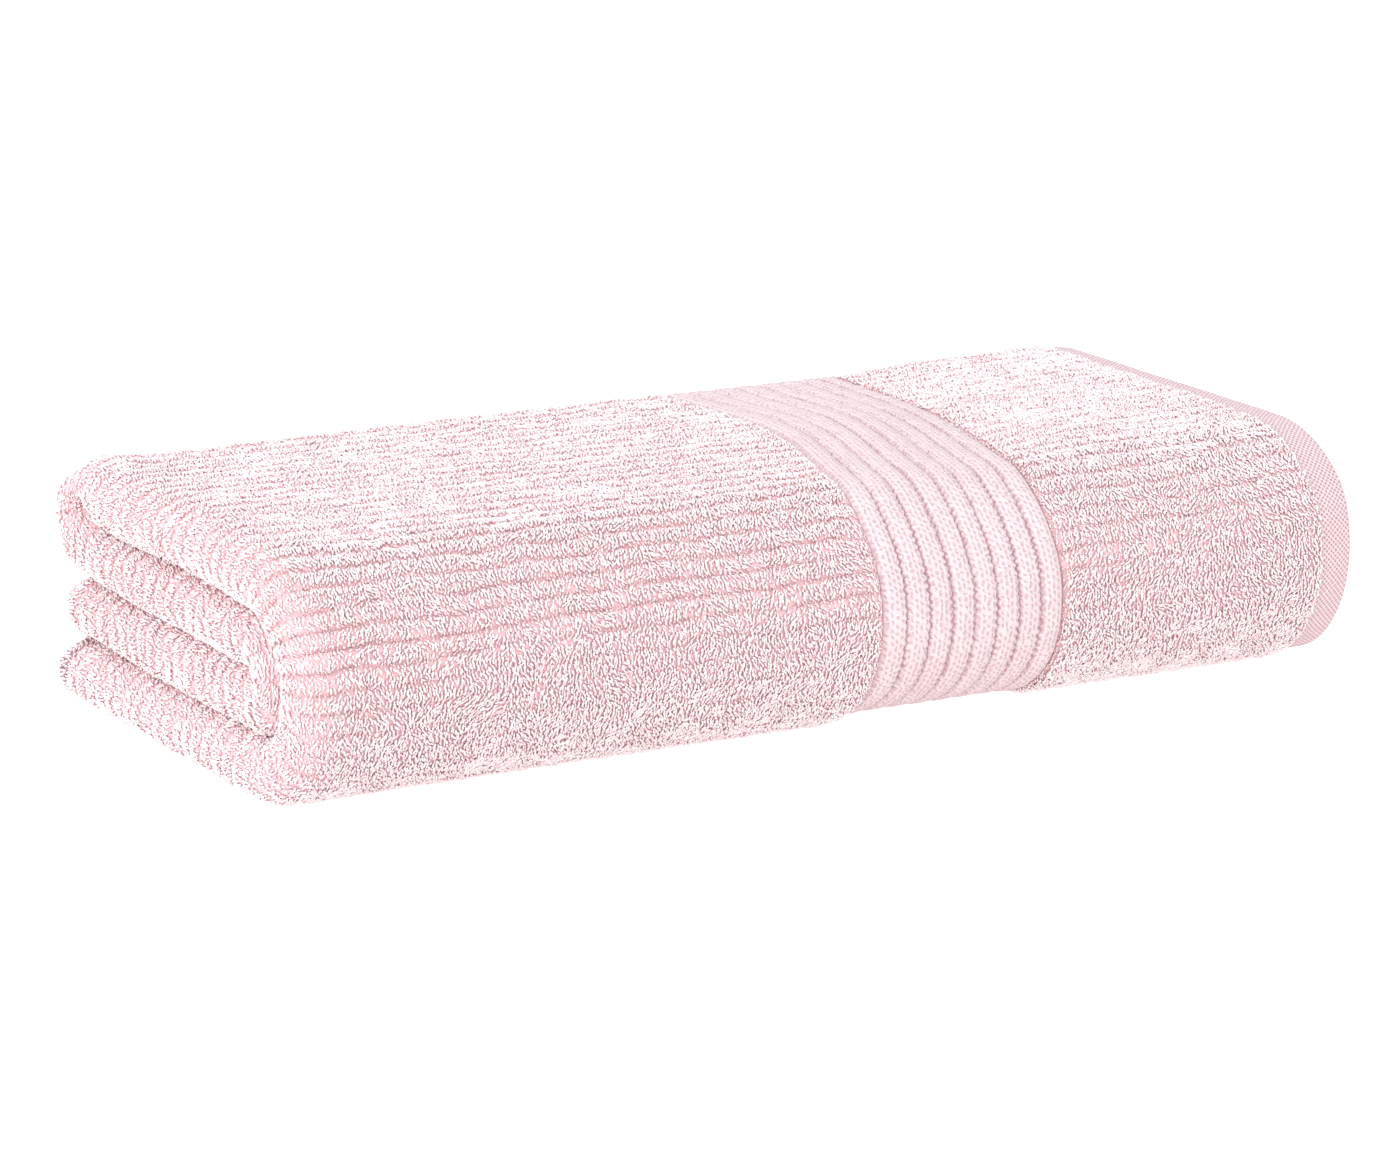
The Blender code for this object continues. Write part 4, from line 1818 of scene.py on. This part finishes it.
@dataclass
class Studio:
    """The pale floor, the soft lights and the camera."""

    azimuth: float = -29.23
    elevation: float = 13.72
    distance: float = 1.787
    aim_height: float = 0.0361
    focal: float = 142.7
    sensor: float = 36.0
    shift: tuple = (-0.0068, 0.0)

    def floor(self) -> None:
        """Lay a plain pale floor."""
        bpy.ops.object.select_all(action="DESELECT")
        bpy.ops.mesh.primitive_plane_add(size=14.0, location=(0.0, 0.0, -0.2 * MM))
        plane = bpy.context.active_object
        plane.name = "floor"
        graph = ShaderGraph("floor_paper")
        mottle = graph.noise(graph.object_place(), 3.0)
        graph.set("Base Color", graph.blend(mottle, (0.34, 0.34, 0.34), (0.36, 0.36, 0.36)))
        graph.set("Roughness", 0.9)
        graph.set("Specular IOR Level", 0.1)
        graph.set("Emission Color", (1.0, 1.0, 1.0, 1.0))
        graph.set("Emission Strength", 0.90)
        plane.data.materials.append(graph.material)
        plane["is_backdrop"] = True

    def lamp(self, name: str, place: tuple, size: float, power: float, colour: tuple) -> None:
        """Hang a soft square lamp that faces the towel.

        Args:
            name: The lamp's name.
            place: Where it hangs.
            size: Its side.
            power: Its strength in watts.
            colour: The colour of its light.
        """
        data = bpy.data.lights.new(name, "AREA")
        data.shape = "SQUARE"
        data.size = size
        data.energy = power
        data.color = colour
        item = bpy.data.objects.new(name, data)
        bpy.context.scene.collection.objects.link(item)
        item.location = place
        item.rotation_euler = (-Vector(place)).to_track_quat("-Z", "Y").to_euler()

    def lights(self) -> None:
        """Light the room softly, a little more from the left."""
        world = bpy.data.worlds.new("studio")
        world.use_nodes = True
        sky = world.node_tree.nodes["Background"].inputs
        sky["Color"].default_value = (0.965, 1.0, 1.015, 1.0)
        sky["Strength"].default_value = 1.23
        bpy.context.scene.world = world
        self.lamp("overhead", (0.0, 0.3, 2.4), 2.4, 8.0, (0.55, 1.0, 1.04))
        self.lamp("left", (-2.1, -1.3, 0.6), 3.0, 72.0, (0.97, 1.0, 1.0))

    def camera(self) -> None:
        """Set the camera on the towel."""
        azimuth, elevation = math.radians(self.azimuth), math.radians(self.elevation)
        back = Vector((math.sin(azimuth) * math.cos(elevation), -math.cos(azimuth) * math.cos(elevation),
                       math.sin(elevation)))
        data = bpy.data.cameras.new("camera")
        data.lens = self.focal
        data.sensor_width = self.sensor
        data.shift_x, data.shift_y = self.shift
        data.clip_start, data.clip_end = 0.05, 50.0
        item = bpy.data.objects.new("camera", data)
        bpy.context.scene.collection.objects.link(item)
        item.location = Vector((0.0, 0.0, self.aim_height)) + back * self.distance
        item.rotation_euler = (-back).to_track_quat("-Z", "Y").to_euler()
        bpy.context.scene.camera = item

    def build(self) -> None:
        """Set everything up."""
        self.camera()
        self.lights()
        self.floor()
        bpy.context.scene.view_settings.view_transform = "Standard"


def main() -> None:
    """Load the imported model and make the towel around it."""
    logging.basicConfig(level=logging.INFO, format="%(message)s")
    LOG.info("packed model: %d nodes", len(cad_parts))
    cad_box = [list(corner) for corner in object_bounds()]
    Studio().build()
    low, high = cad_box
    plan = FoldPlan(high[0] - low[0], high[1] - low[1], high[2] - low[2])
    ribs = RibbedSurface(plan)
    palette = Palette()
    TerryCloth(plan, ribs, palette).build()
    LoopPile(plan, ribs, palette).build()
    DobbyBorder(plan, palette).build()
    TurnedHems(plan, palette).build()
    CareLabel(plan, palette).build()


if __name__ == "__main__":
    main()
